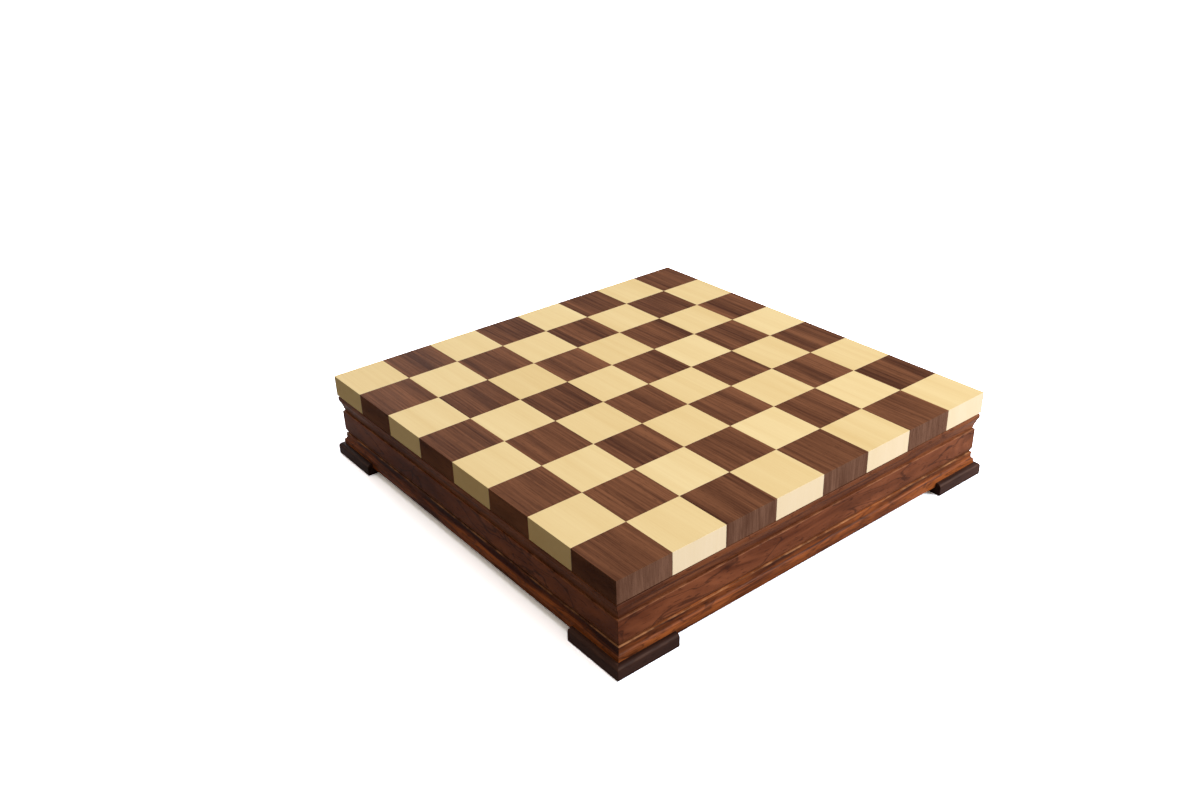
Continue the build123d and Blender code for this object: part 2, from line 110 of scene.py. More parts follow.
# %% Wiring helper
class Wiring:
    """A node tree, with short ways to add the nodes that the finishes use."""

    def __init__(self, tree):
        self.tree = tree

    def node(self, kind, feeds=None, **settings):
        """Add a node, set it and feed its inputs."""
        made = self.tree.nodes.new(kind)
        for setting, value in settings.items():
            setattr(made, setting, value)
        self.feed(made.inputs, feeds or {})
        return made

    def feed(self, sockets, feeds):
        """Link each named or numbered socket to an output, or set it to a plain value."""
        for socket, value in feeds.items():
            if isinstance(value, bpy.types.NodeSocket):
                self.tree.links.new(value, sockets[socket])
            else:
                sockets[socket].default_value = value

    def group(self, name, feeds=None):
        """Place a shared node group and return its outputs."""
        return self.node("ShaderNodeGroup", feeds, node_tree=bpy.data.node_groups[name]).outputs

    def math(self, operation, *feeds):
        return self.node("ShaderNodeMath", dict(enumerate(feeds)), operation=operation).outputs[0]

    def vector(self, operation, *feeds):
        return self.node("ShaderNodeVectorMath", dict(enumerate(feeds)), operation=operation).outputs[0]

    def combine(self, x, y, z):
        return self.node("ShaderNodeCombineXYZ", {0: x, 1: y, 2: z}).outputs[0]

    def separate(self, vector):
        return self.node("ShaderNodeSeparateXYZ", {0: vector}).outputs

    def choose(self, factor, first, second):
        """A value between two others."""
        return self.node("ShaderNodeMix", {0: factor, 2: first, 3: second}).outputs[0]

    def blend(self, factor, first, second, how="MIX"):
        """A colour between two others."""
        feeds = {0: factor, 6: first, 7: second}
        return self.node("ShaderNodeMix", feeds, data_type="RGBA", blend_type=how).outputs[2]

    def mask(self, value, low, high):
        """0 below low, 1 above high, and a smooth step between them."""
        feeds = {"Value": value, "From Min": low, "From Max": high}
        return self.node("ShaderNodeMapRange", feeds, interpolation_type="SMOOTHSTEP").outputs[0]

    def noise(self, place, stretch, detail=2.0, roughness=0.5):
        """Noise with so many features to the metre along each axis."""
        spot = self.vector("MULTIPLY", place, stretch)
        feeds = {"Vector": spot, "Scale": 1.0, "Detail": detail, "Roughness": roughness}
        return self.node("ShaderNodeTexNoise", feeds).outputs[0]

    def centred(self, value, strength):
        """A noise moved to swing about zero, with the given strength."""
        return self.math("MULTIPLY", self.math("SUBTRACT", value, 0.5), strength)

    def relief(self, height, strength, distance):
        """A normal tilted by a shallow relief."""
        feeds = {"Strength": strength, "Distance": distance, "Height": height}
        return self.node("ShaderNodeBump", feeds).outputs[0]


def tone(code):
    """A colour of six hexadecimal digits, as linear light."""
    channels = [int(code[start : start + 2], 16) / 255 for start in (0, 2, 4)]
    linear = [c / 12.92 if c < 0.04045 else ((c + 0.055) / 1.055) ** 2.4 for c in channels]
    return (*linear, 1.0)


def new_group(name, inputs, outputs):
    """A shader node group with named sockets: a number makes a value, four numbers a colour."""
    tree = bpy.data.node_groups.new(name, "ShaderNodeTree")
    for way, sockets in (("INPUT", inputs), ("OUTPUT", outputs)):
        for label, default in sockets.items():
            kind = "NodeSocketFloat" if isinstance(default, float) else "NodeSocketColor"
            socket = tree.interface.new_socket(name=label, in_out=way, socket_type=kind)
            socket.default_value = default
    given = tree.nodes.new("NodeGroupInput").outputs
    result = tree.nodes.new("NodeGroupOutput").inputs
    return Wiring(tree), given, result


def new_material(name, fixed):
    """A material, its wiring and the sockets of its Principled shader, with the even values set on them."""
    material = bpy.data.materials.new(name)
    material.use_nodes = True
    wiring = Wiring(material.node_tree)
    surface = material.node_tree.nodes["Principled BSDF"].inputs
    wiring.feed(surface, fixed)
    return material, wiring, surface


print("wiring helper ready")

# %% [markdown]
# ## Studio
#
# The set is shown on plain white. A floor lit to pure white would need more light than the wood can take,
# so a light path switch makes floor and sky white for the camera and for rays that come off a polished face
# or through glass. In a polished face the floor is white paper under the same lamps, with the set's shadow
# on it. Seen directly, the paper gives back several times that light, so it is white wherever light falls
# and stays dark in the gap under the box. The paper is a little blue, which evens out the warm sky. To all
# other light it is a plain grey, so the wood is lit at a plain level.

# %% Floor and sky
FLOOR_HALF = 5.0
FLOOR_GREY = tone("453f38")
FLOOR_WHITE = tone("e0e9f6")
FLOOR_GAIN = 4.5
SKY_FILL = 0.36
SKY_TINT = tone("ffead2")
WHITE = tone("ffffff")


def seen_rays(wiring):
    """Two switches: rays from the camera or through glass, and those together with mirrored rays."""
    path = wiring.node("ShaderNodeLightPath").outputs
    direct = wiring.math("MAXIMUM", path["Is Camera Ray"], path["Is Transmission Ray"])
    return direct, wiring.math("MAXIMUM", direct, path["Is Glossy Ray"])


sky = bpy.data.worlds.new("studio")
scene.world = sky
sky.use_nodes = True
wiring = Wiring(sky.node_tree)
_, seen = seen_rays(wiring)
shown = {"Color": wiring.blend(seen, SKY_TINT, WHITE), "Strength": wiring.choose(seen, SKY_FILL, 1.0)}
wiring.feed(sky.node_tree.nodes["Background"].inputs, shown)

floor_mesh = bpy.data.meshes.new("floor")
corners = [(x * FLOOR_HALF, y * FLOOR_HALF, 0) for x, y in ((-1, -1), (1, -1), (1, 1), (-1, 1))]
floor_mesh.from_pydata(corners, [], [(0, 1, 2, 3)])
floor = bpy.data.objects.new("floor", floor_mesh)
scene.collection.objects.link(floor)
floor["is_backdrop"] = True

floor_paper = bpy.data.materials.new("floor_paper")
floor_paper.use_nodes = True
floor_paper.node_tree.nodes.clear()
wiring = Wiring(floor_paper.node_tree)
direct, seen = seen_rays(wiring)
brighter = wiring.blend(direct, FLOOR_WHITE, [FLOOR_GAIN * channel for channel in FLOOR_WHITE])
grey, white = [wiring.node("ShaderNodeBsdfDiffuse", {"Color": c}).outputs[0] for c in (FLOOR_GREY, brighter)]
paper = wiring.node("ShaderNodeMixShader", {0: seen, 1: grey, 2: white}).outputs[0]
wiring.node("ShaderNodeOutputMaterial", {"Surface": paper})
floor_mesh.materials.append(floor_paper)
print(f"floor {2 * FLOOR_HALF:.0f} m square")

# %% [markdown]
# ## Lamps
#
# One large softbox stands to the right of the camera. It lights the top and the right-hand side, leaves the
# left-hand side in shade, and grows weaker towards the far left corner. A second one hangs high over the
# set, so the top stays even from front to back, and a weak third one shows the back of the set. What little
# light the left side gets comes mostly from the sky.

# %% Lamps
BOX_MIDDLE = Vector((0, 0, 0.05))


def softbox(name, place, width, watts):
    """A square area lamp turned towards the middle of the box."""
    lamp = bpy.data.lights.new(name, "AREA")
    lamp.size = width
    lamp.energy = watts
    box = bpy.data.objects.new(name, lamp)
    box.location = place
    box.rotation_mode = "QUATERNION"
    box.rotation_quaternion = (BOX_MIDDLE - Vector(place)).to_track_quat("-Z", "Y")
    scene.collection.objects.link(box)


softbox("key_softbox", (1.30, -1.75, 0.90), 1.3, 56.0)
softbox("high_softbox", (0.0, -0.20, 1.40), 0.9, 4.6)
softbox("back_softbox", (0.40, 1.90, 0.60), 1.0, 14.0)
print("three softboxes")

# %% [markdown]
# ## Wood
#
# All the wood in the set is one idea with different values: long fibres that stretch along the grain, bands
# of darker late wood, fine pores, and an end that shows the bands as short stripes. A photo of wood on each
# face would break at the corners. A solid texture that is much longer along the grain than across it runs
# through the block as real wood does, so the streaks on top turn into stripes on the end by themselves.

# %% Wood group
PLACE = dict.fromkeys(("Along", "Across", "Up", "Facing", "Seed"), 0.0)
SURFACE = {"Color": tone("000000"), "Roughness": 0.0, "Height": 0.0}
SEED_STEPS = (5.3, 9.1, 2.7)
WANDER_UP = 0.6
SMUDGED = 0.16
END_ROUGHER = 0.12
LINE_RELIEF = 0.5


def shades(light, dark, end):
    """The wood group's colours: its light and its dark streaks, and the cut end."""
    return {"Light": tone(light), "Dark": tone(dark), "End": tone(end)}


def streaks(bands, lines, fibres, pores, wander, polish):
    """The wood group's strengths: of its patterns, how far they wander, and how rough the polish is."""
    return {
        "Bands": bands, "Lines": lines, "Fibres": fibres, "Pores": pores, "Wander": wander, "Polish": polish
    }


wood_inputs = {"Lift": 0.0, **shades("a0764f", "5a3a26", "7a5a48"), "Stripes": 0.75}
wood_inputs |= streaks(1.0, 1.0, 0.6, 0.3, 0.003, 0.4)
wiring, given, result = new_group("Wood", PLACE | wood_inputs, SURFACE)
plank = wiring.vector(
    "ADD",
    wiring.combine(given["Across"], given["Along"], given["Up"]),
    wiring.combine(*[wiring.math("MULTIPLY", given["Seed"], step) for step in SEED_STEPS]),
)
drift = wiring.noise(plank, (16, 5, 16), detail=1.0)
shift = wiring.centred(drift, given["Wander"])
plank = wiring.vector("ADD", plank, wiring.combine(shift, 0.0, wiring.math("MULTIPLY", shift, WANDER_UP)))
bands = wiring.noise(plank, (85, 3.5, 14), detail=1.0)
lines = wiring.noise(plank, (430, 7, 34))
fibres = wiring.noise(plank, (1500, 28, 110))
pores = wiring.mask(wiring.noise(plank, (2300, 130, 900), detail=0.0), 0.66, 0.78)
smudges = wiring.noise(plank, (22, 15, 22))
depth = wiring.math("ADD", given["Lift"], 0.5)
for pattern, strength in ((bands, "Bands"), (lines, "Lines"), (fibres, "Fibres")):
    depth = wiring.math("ADD", depth, wiring.centred(pattern, given[strength]))
depth = wiring.math("MINIMUM", wiring.math("MAXIMUM", depth, 0.0), 1.0)
side_colour = wiring.blend(depth, given["Dark"], given["Light"])
end_shade = wiring.blend(given["Stripes"], given["End"], given["Dark"])
end_colour = wiring.blend(depth, end_shade, given["End"])
cut_across = wiring.mask(given["Facing"], 0.6, 0.85)
colour = wiring.blend(cut_across, side_colour, end_colour)
pore_depth = wiring.math("MULTIPLY", pores, given["Pores"])
colour = wiring.blend(pore_depth, colour, given["Dark"], how="MULTIPLY")
rougher_end = wiring.math("MULTIPLY", cut_across, END_ROUGHER)
rougher = wiring.math("ADD", wiring.centred(smudges, SMUDGED), rougher_end)
roughness = wiring.math("ADD", given["Polish"], rougher)
height = wiring.math("ADD", wiring.math("MULTIPLY", lines, LINE_RELIEF), fibres)
height = wiring.math("SUBTRACT", height, pore_depth)
wiring.feed(result, {"Color": colour, "Roughness": roughness, "Height": height})
print("wood group:", len(wiring.tree.nodes), "nodes")

# %% [markdown]
# ## Where the grain runs
#
# The wood group has to know which way a piece was sawn. The board's blocks have their grain from front to
# back, and each block comes from another place in the plank, so a random number is made from its row and
# column. The mouldings are mitred, so the grain turns the corner exactly on the diagonal: whichever of x
# and y is larger tells which side of the box a point is on. Loose straight pieces simply take one axis.

# %% Grain direction groups
SIDEWAYS_SEED = 0.37
FAR_SIDE_SEED = 0.23

wiring, given, result = new_group("Board blocks", {"Square": 0.05}, {**PLACE, "Shade": 0.0})
coordinates = wiring.node("ShaderNodeTexCoord").outputs
x, y, z = wiring.separate(coordinates["Object"])
column, row = [wiring.math("FLOOR", wiring.math("DIVIDE", place, given["Square"])) for place in (x, y)]
cell = {"Vector": wiring.combine(column, row, 0.0)}
drawn = wiring.node("ShaderNodeTexWhiteNoise", cell, noise_dimensions="2D").outputs
facing = wiring.math("ABSOLUTE", wiring.separate(coordinates["Normal"])[1])
shade = wiring.math("SUBTRACT", wiring.separate(drawn["Color"])[1], 0.5)
wiring.feed(result, {"Along": y, "Across": x, "Up": z})
wiring.feed(result, {"Facing": facing, "Seed": drawn["Value"], "Shade": shade})

wiring, _, result = new_group("Mitred run", {}, PLACE)
coordinates = wiring.node("ShaderNodeTexCoord").outputs
x, y, z = wiring.separate(coordinates["Object"])
normal_x, normal_y, _ = wiring.separate(coordinates["Normal"])
sideways = wiring.math("GREATER_THAN", wiring.math("ABSOLUTE", y), wiring.math("ABSOLUTE", x))
across = wiring.choose(sideways, x, y)
facing = wiring.math("ABSOLUTE", wiring.choose(sideways, normal_y, normal_x))
far_side = wiring.math("MULTIPLY", wiring.math("GREATER_THAN", across, 0.0), FAR_SIDE_SEED)
seed = wiring.math("MULTIPLY_ADD", sideways, SIDEWAYS_SEED, far_side)
wiring.feed(result, {"Along": wiring.choose(sideways, y, x), "Across": across, "Up": z})
wiring.feed(result, {"Facing": facing, "Seed": seed})


def straight_run(wiring, along):
    """The wood group's place sockets for a straight piece whose grain runs along the named axis."""
    coordinates = wiring.node("ShaderNodeTexCoord").outputs
    place = dict(zip("xyz", wiring.separate(coordinates["Object"])))
    normal = dict(zip("xyz", wiring.separate(coordinates["Normal"])))
    across, up = [axis for axis in "xyz" if axis != along]
    facing = wiring.math("ABSOLUTE", normal[along])
    return {"Along": place[along], "Across": place[across], "Up": place[up], "Facing": facing}


print("grain directions: blocks, mitred runs and straight runs")

# %% [markdown]
# ## Arrises with wear and a painted highlight, and figured wood
#
# Polish rubs thin along an arris, and an arris that faces up catches the light, so a thin, broken,
# lighter line is painted along it: partly wear and partly a painted highlight, on every side alike. The
# mouldings are straight runs, so each arris stays at one height all round the box, and a narrow window of
# height finds it.
#
# The frieze and the mouldings are cut from figured wood, with dark wandering veins. Where a soft noise
# crosses its middle value it draws lines like the contours on a map, and stretched along the board these
# are the veins.

# %% Arris and figure groups
ALWAYS_WORN_AND_LIT = 0.15

arris_inputs = {"Along": 0.0, "Up": 0.0, "Level": 0.02, "Spread": 0.0005, "Amount": 1.0}
# Painted highlight and wear: a broken lighter line at one height, the same on lit and shaded sides.
wiring, given, result = new_group("Worn arris and painted highlight", arris_inputs, {"Mask": 0.0})
off_level = wiring.math("ABSOLUTE", wiring.math("SUBTRACT", given["Up"], given["Level"]))
near = wiring.mask(wiring.math("DIVIDE", off_level, given["Spread"]), 1.0, 0.4)
along = wiring.combine(given["Along"], 0.0, given["Up"])
patchy = wiring.mask(wiring.noise(along, (70, 1, 300), detail=3.0), 0.40, 0.66)
wear_and_highlight = wiring.math("MULTIPLY", near, wiring.math("MULTIPLY_ADD", patchy, 1 - ALWAYS_WORN_AND_LIT, ALWAYS_WORN_AND_LIT))
wiring.feed(result, {"Mask": wiring.math("MULTIPLY", wear_and_highlight, given["Amount"])})

figure_inputs = {"Along": 0.0, "Across": 0.0, "Up": 0.0, "Seed": 0.0}
figure_inputs |= {"Length": 0.07, "Height": 0.02, "Width": 0.03}
wiring, given, result = new_group("Figure", figure_inputs, {"Veins": 0.0, "Clouds": 0.0})
along = wiring.math("ADD", wiring.math("DIVIDE", given["Along"], given["Length"]), given["Seed"])
across = wiring.math("ADD", wiring.math("DIVIDE", given["Across"], given["Height"]), given["Seed"])
spot = wiring.combine(along, across, wiring.math("DIVIDE", given["Up"], given["Height"]))
feeds = {"Vector": spot, "Scale": 1.0, "Detail": 3.0, "Distortion": 0.7}
swirl = wiring.node("ShaderNodeTexNoise", feeds).outputs[0]
edge = wiring.math("ABSOLUTE", wiring.math("SUBTRACT", swirl, 0.5))
veins = wiring.mask(wiring.math("DIVIDE", edge, given["Width"]), 1.0, 0.0)
clouds = wiring.noise(spot, (0.6, 0.8, 0.8), detail=3.0, roughness=0.6)
wiring.feed(result, {"Veins": veins, "Clouds": wiring.mask(clouds, 0.48, 0.72)})
print("groups:", sorted(group.name for group in bpy.data.node_groups if group.type == "SHADER"))

# %% [markdown]
# ## Finish of the board
#
# The squares are solid blocks, planed flush and finished with a thin satin lacquer. Walnut is streaked and
# brown on top, with a purplish, striped end. Maple is cream, nearly plain, with a paler end. Both use the
# same groups with their own values, and the lacquer is only a matter of roughness, so the lamps give the
# gloss.

# %% Board materials
SQUARE = 0.05
GRAIN_DEPTH = 0.2 * MM


def finish(wiring, surface, colour, group, bump):
    """Feed a shader from a colour and from a group's roughness and height."""
    normal = wiring.relief(group["Height"], bump, GRAIN_DEPTH)
    wiring.feed(surface, {"Base Color": colour, "Roughness": group["Roughness"], "Normal": normal})


def board_wood(name, colours, strengths, shade, bump):
    """The wood of one colour of squares."""
    material, wiring, surface = new_material(name, {"Specular IOR Level": 0.02})
    square = wiring.group("Board blocks", {"Square": SQUARE})
    place = {label: square[label] for label in PLACE}
    lift = wiring.math("MULTIPLY", square["Shade"], shade)
    wood = wiring.group("Wood", {**place, "Lift": lift, **colours, **strengths})
    finish(wiring, surface, wood["Color"], wood, bump)
    return material


walnut = board_wood(
    "walnut",
    shades("86593f", "4a2b1e", "82604f"),
    streaks(bands=1.5, lines=1.4, fibres=0.9, pores=0.35, wander=0.006, polish=0.56),
    shade=0.25,
    bump=0.25,
)
maple = board_wood(
    "maple",
    {**shades("f8e6b4", "e6cc93", "feeed2"), "Stripes": 0.35},
    streaks(bands=0.8, lines=0.4, fibres=0.35, pores=0.06, wander=0.010, polish=0.56),
    shade=0.4,
    bump=0.12,
)
print("board materials:", walnut.name, maple.name)

# %% [markdown]
# ## Finish of the box
#
# The mouldings are a reddish brown wood under satin varnish: the base moulding is more orange and streaky,
# and the frieze between them has the strongest figure. The feet are stained almost black. Each is the wood
# group with the figure laid over it, a painted falloff of light along each side, and one arris made lighter
# by wear and a painted highlight, so they look like one family.

# %% Box materials
# Painted light: a falloff along each side, so the front grows paler towards its far end, nearer the key lamp.
PAINTED_FALLOFF_WAVES = 6.0
PAINTED_FALLOFF_SIDE_STEP = 9.0
PAINTED_FALLOFF_START = -3.3


def box_wood(name, colours, strengths, figure, vein, veins, clouds, wear_and_highlight, arris, drift=0.26):
    """Varnished wood of a mitred run, with figure in the wood, a painted light falloff along each side,
    and a lighter line along one arris that is partly wear and partly a painted highlight.
    """
    material, wiring, surface = new_material(name, {"Specular IOR Level": 0.05})
    run = wiring.group("Mitred run")
    place = {label: run[label] for label in ("Along", "Across", "Up", "Seed")}
    # Painted light falloff: each side paler towards one end and darker towards the other.
    phase = wiring.math("MULTIPLY_ADD", run["Seed"], PAINTED_FALLOFF_SIDE_STEP, PAINTED_FALLOFF_START)
    painted_falloff = wiring.math("SINE", wiring.math("MULTIPLY_ADD", run["Along"], PAINTED_FALLOFF_WAVES, phase))
    lift = wiring.math("MULTIPLY", painted_falloff, drift)
    wood = wiring.group("Wood", {**place, "Facing": run["Facing"], "Lift": lift, **colours, **strengths})
    marks = wiring.group("Figure", place | dict(zip(("Length", "Height", "Width"), figure)))
    colour = wood["Color"]
    for mark, strength in (("Clouds", clouds), ("Veins", veins)):
        colour = wiring.blend(wiring.math("MULTIPLY", marks[mark], strength), colour, tone(vein))
    level, spread, amount = arris
    feeds = {"Level": level * MM, "Spread": spread * MM, "Amount": amount}
    # The lighter arris line: partly wear, partly a painted highlight.
    edge = wiring.group("Worn arris and painted highlight", {"Along": run["Along"], "Up": run["Up"], **feeds})
    finish(wiring, surface, wiring.blend(edge["Mask"], colour, tone(wear_and_highlight)), wood, bump=0.2)
    return material


# In each wood below, the arris colour is partly wear and partly a painted highlight, and drift sets the
# strength of a painted light falloff along each side.
cornice_wood = box_wood(
    "cornice_wood",
    shades("965a38", "582e1b", "6d4634"),
    streaks(bands=1.6, lines=1.8, fibres=0.9, pores=0.5, wander=0.010, polish=0.40),
    figure=(0.11, 0.018, 0.020), vein="361a10", veins=0.45, clouds=0.35,
    wear_and_highlight="b98558", arris=(54.9, 0.5, 0.15),
)
base_wood = box_wood(
    "base_wood",
    shades("a35b2e", "401b0e", "6d4634"),
    streaks(bands=2.6, lines=3.0, fibres=1.3, pores=0.5, wander=0.014, polish=0.36),
    figure=(0.06, 0.008, 0.040), vein="2b130c", veins=0.5, clouds=0.75,
    wear_and_highlight="d99f70", arris=(21.8, 0.5, 0.55), drift=0.06,
)
frieze_wood = box_wood(
    "frieze_wood",
    shades("9a5c3d", "5c2f1b", "6d4634"),
    streaks(bands=1.2, lines=1.4, fibres=0.8, pores=0.5, wander=0.020, polish=0.40),
    figure=(0.10, 0.026, 0.020), vein="30160d", veins=0.65, clouds=0.55,
    wear_and_highlight="b9825c", arris=(44.2, 0.4, 0.45),
)
foot_wood = box_wood(
    "foot_wood",
    shades("4b332b", "291814", "3a2821"),
    streaks(bands=1.2, lines=1.4, fibres=0.8, pores=0.4, wander=0.006, polish=0.44),
    figure=(0.08, 0.02, 0.02), vein="20130f", veins=0.25, clouds=0.25,
    wear_and_highlight="7d5a49", arris=(9.5, 1.0, 0.2),
)
print("box materials: cornice, base, frieze, foot")

# %% [markdown]
# ## Finish of the inside
#
# Battens, dividers and the bottom panel are plain straight pieces, so they take the wood group with the
# grain along their length. The men are turned from boxwood and from a dark stained wood. Their grain
# follows the turning axis, which lies another way in each man, so the mesh keeps each point's place on the
# lathe as an attribute.


# %% Inside materials
def straight_wood(name, along, colours, strengths):
    """Wood of a straight piece."""
    material, wiring, surface = new_material(name, {"Specular IOR Level": 0.1})
    wood = wiring.group("Wood", {**straight_run(wiring, along), **colours, **strengths})
    finish(wiring, surface, wood["Color"], wood, bump=0.15)
    return material


def turned_wood(name, colours, strengths):
    """Wood of a turned or carved man, read at each point's place on the lathe."""
    material, wiring, surface = new_material(name, {"Specular IOR Level": 0.25, "Coat Weight": 0.06})
    lathe_place = wiring.node("ShaderNodeAttribute", attribute_name="lathe_place").outputs["Vector"]
    across, up, along = wiring.separate(lathe_place)
    chance = wiring.node("ShaderNodeNewGeometry").outputs["Random Per Island"]
    place = {"Along": along, "Across": across, "Up": up, "Seed": chance}
    lift = wiring.centred(chance, 0.3)
    wood = wiring.group("Wood", {**place, "Lift": lift, **colours, **strengths})
    finish(wiring, surface, wood["Color"], wood, bump=0.1)
    return material


BEECH = shades("d9b183", "b98a5c", "c79b6c")
BIRCH = shades("dcc19a", "c3a071", "a98356")
MAHOGANY = shades("8a5233", "57301d", "6b4029")
PLAIN = streaks(bands=1.0, lines=1.0, fibres=0.6, pores=0.3, wander=0.008, polish=0.5)
batten_woods = {axis: straight_wood(f"batten_wood_{axis}", axis, BEECH, PLAIN) for axis in "xyz"}
divider_woods = {axis: straight_wood(f"divider_wood_{axis}", axis, MAHOGANY, PLAIN) for axis in "xy"}
plywood = straight_wood("plywood", "x", BIRCH, PLAIN)
men_woods = {
    "light": turned_wood(
        "light_men_wood",
        shades("e9c88e", "c99a58", "d8b276"),
        streaks(bands=1.0, lines=0.9, fibres=0.5, pores=0.1, wander=0.004, polish=0.32),
    ),
    "dark": turned_wood(
        "dark_men_wood",
        shades("6a3d29", "36190f", "4f2b1d"),
        streaks(bands=1.2, lines=1.2, fibres=0.6, pores=0.2, wander=0.004, polish=0.30),
    ),
}
print("inside woods:", len(batten_woods) + len(divider_woods) + len(men_woods) + 1)

# %% [markdown]
# ## Dress the frame's own solids
#
# The wooden solids already have the right shape, so they stay, and only their material slots change. Their
# edges are mathematically sharp, which no wood is. A Bevel modifier eases them by a fraction of a
# millimetre. It needs faces that share corners, so a Weld comes first, and Weighted Normal after it keeps
# the flat faces flat.

# %% Materials on solids
SIDES = ("front", "right", "back", "left")
WELD = 0.01 * MM
EASED_ANGLE = radians(20)


def ease_edges(thing, ease):
    """Ease the edges of a solid or a piece by so many millimetres."""
    bevel = thing.modifiers.new("eased_edges", "BEVEL")
    bevel.width = ease * MM
    bevel.segments = 2
    bevel.limit_method = "ANGLE"
    bevel.angle_limit = EASED_ANGLE
    bevel.use_clamp_overlap = True
    thing.modifiers.new("flat_faces", "WEIGHTED_NORMAL").keep_sharp = True


def dress(names, material, ease):
    """Give solids their finish and ease their edges by so many millimetres."""
    for name in names:
        for slot in nodes[name].material_slots:
            slot.material = material
        nodes[name].modifiers.new("weld", "WELD").merge_threshold = WELD
        ease_edges(nodes[name], ease)


dress(["walnut_squares"], walnut, 0.15)
dress(["maple_squares"], maple, 0.15)
for kind, wood in (("cornice", cornice_wood), ("side_board", frieze_wood), ("base_moulding", base_wood)):
    dress([f"{side}_{kind}" for side in SIDES], wood, 0.25)
for side in SIDES:
    dress([f"{side}_batten"], batten_woods["x" if side in ("front", "back") else "y"], 0.4)
dress(["mitre_splines"], batten_woods["z"], 0.2)
dress(["bottom_panel"], plywood, 0.2)
dress(["front_long_divider", "back_long_divider"], divider_woods["x"], 0.5)
dress([f"cross_divider_{number}" for number in range(1, 5)], divider_woods["y"], 0.5)
print("dressed", sum(bool(solid.modifiers) for solid in nodes.values()), "solids")

# %% [markdown]
# ## Building pieces
#
# A piece that the frame doesn't have in full is built as a mesh of its own, which then rides on the box and
# may stand for a solid. Most such shapes are a row of rings with a skin between them, so one helper makes
# the skin.

# %% Helpers for new pieces
SHARP_ANGLE = radians(38)


def as_mesh(name, shape):
    """Turn a built shape into mesh data."""
    mesh = bpy.data.meshes.new(name)
    shape.to_mesh(mesh)
    shape.free()
    return mesh


def new_piece(name, shape, materials, replaced=None):
    """Turn a built shape into a piece that rides on the box and may stand for one of its solids."""
    mesh = as_mesh(name, shape)
    mesh.shade_smooth()
    mesh.set_sharp_from_angle(angle=SHARP_ANGLE)
    for material in materials:
        mesh.materials.append(material)
    piece = bpy.data.objects.new(name, mesh)
    scene.collection.objects.link(piece)
    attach(piece, "box")
    if replaced:
        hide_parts(replaced)
    return piece


def skin(shape, rings, cut_caps=False):
    """Faces between rings of corners, where a ring of one is a tip, and caps, cut to triangles if asked."""
    for lower, upper in pairwise(rings):
        for step in range(max(len(lower), len(upper))):
            face = [lower[step % len(lower)], lower[(step + 1) % len(lower)]]
            face += [upper[(step + 1) % len(upper)], upper[step % len(upper)]]
            shape.faces.new(list(dict.fromkeys(face)))
    for ring in (rings[0], rings[-1]):
        if len(ring) > 1:
            cap = shape.faces.new(ring)
            if cut_caps:
                bmesh.ops.triangulate(shape, faces=[cap])
    bmesh.ops.recalc_face_normals(shape, faces=list(shape.faces))


def stand(place, turn=(0, 0, 0)):
    """The matrix that turns a thing about its own middle and moves it to its place."""
    return Matrix.Translation(place) @ Euler(turn).to_matrix().to_4x4()


def bricks(size, places, ease=0.0, steps=2):
    """Bricks of one size at the given places, with eased edges."""
    shape = bmesh.new()
    for place in places:
        bmesh.ops.create_cube(shape, size=1, matrix=place @ Matrix.Diagonal((*size, 1)))
    if ease:
        edges = list(shape.edges)
        bmesh.ops.bevel(shape, geom=edges, offset=ease, segments=steps, affect="EDGES", profile=0.5)
    return shape


print("helpers for new pieces ready")

# %% [markdown]
# ## Bracket feet and skirts
#
# Each foot is two legs that are glued together at a mitre. In the frame the two legs touch there, and a
# Weld would join the faces inside the joint, which a Bevel can't follow. So each foot is glued up again as
# one skin: the same section, with its rounded upper edge, runs from the end of one leg to the mitre and on
# to the end of the other. Between the feet a low skirt of the moulding's wood lies under each base
# moulding, a little behind its face, so the base reaches lower there.

# %% Bracket feet and skirts
FOOT_WIDTH = 24.0 * MM
FOOT_ROUNDING = 3.5 * MM
ROUNDING_STEPS = 6
SKIRT_HEIGHT = 4.0 * MM
SKIRT_WIDTH = 8.0 * MM
SKIRT_SETBACK = 0.3 * MM
SKIRT_EASE = 0.3 * MM


def foot_section(height):
    """Points of a leg's section: how far in from the outer face, and how high."""
    turns = [step / ROUNDING_STEPS * pi / 2 for step in range(ROUNDING_STEPS + 1)]
    rounded = [(1 - cos(turn), sin(turn) - 1) for turn in turns]
    edge = [(across * FOOT_ROUNDING, height + up * FOOT_ROUNDING) for across, up in rounded]
    return [(0, 0), *edge, (FOOT_WIDTH, height), (FOOT_WIDTH, 0)]


def glue_up(name):
    """A foot of two legs, whose sections meet on the diagonal."""
    low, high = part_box(name)
    outer = [max(ends, key=abs) for ends in zip(low.xy, high.xy)]
    inner = [min(ends, key=abs) for ends in zip(low.xy, high.xy)]
    foot = bmesh.new()
    rings = [[], [], []]
    for inset, z in foot_section(high.z):
        x, y = [far - copysign(inset, far) for far in outer]
        for ring, spot in zip(rings, ((inner[0], y, z), (x, y, z), (x, inner[1], z))):
            ring.append(foot.verts.new(spot))
    skin(foot, rings)
    return new_piece(f"glued_{name}", foot, [foot_wood], name)


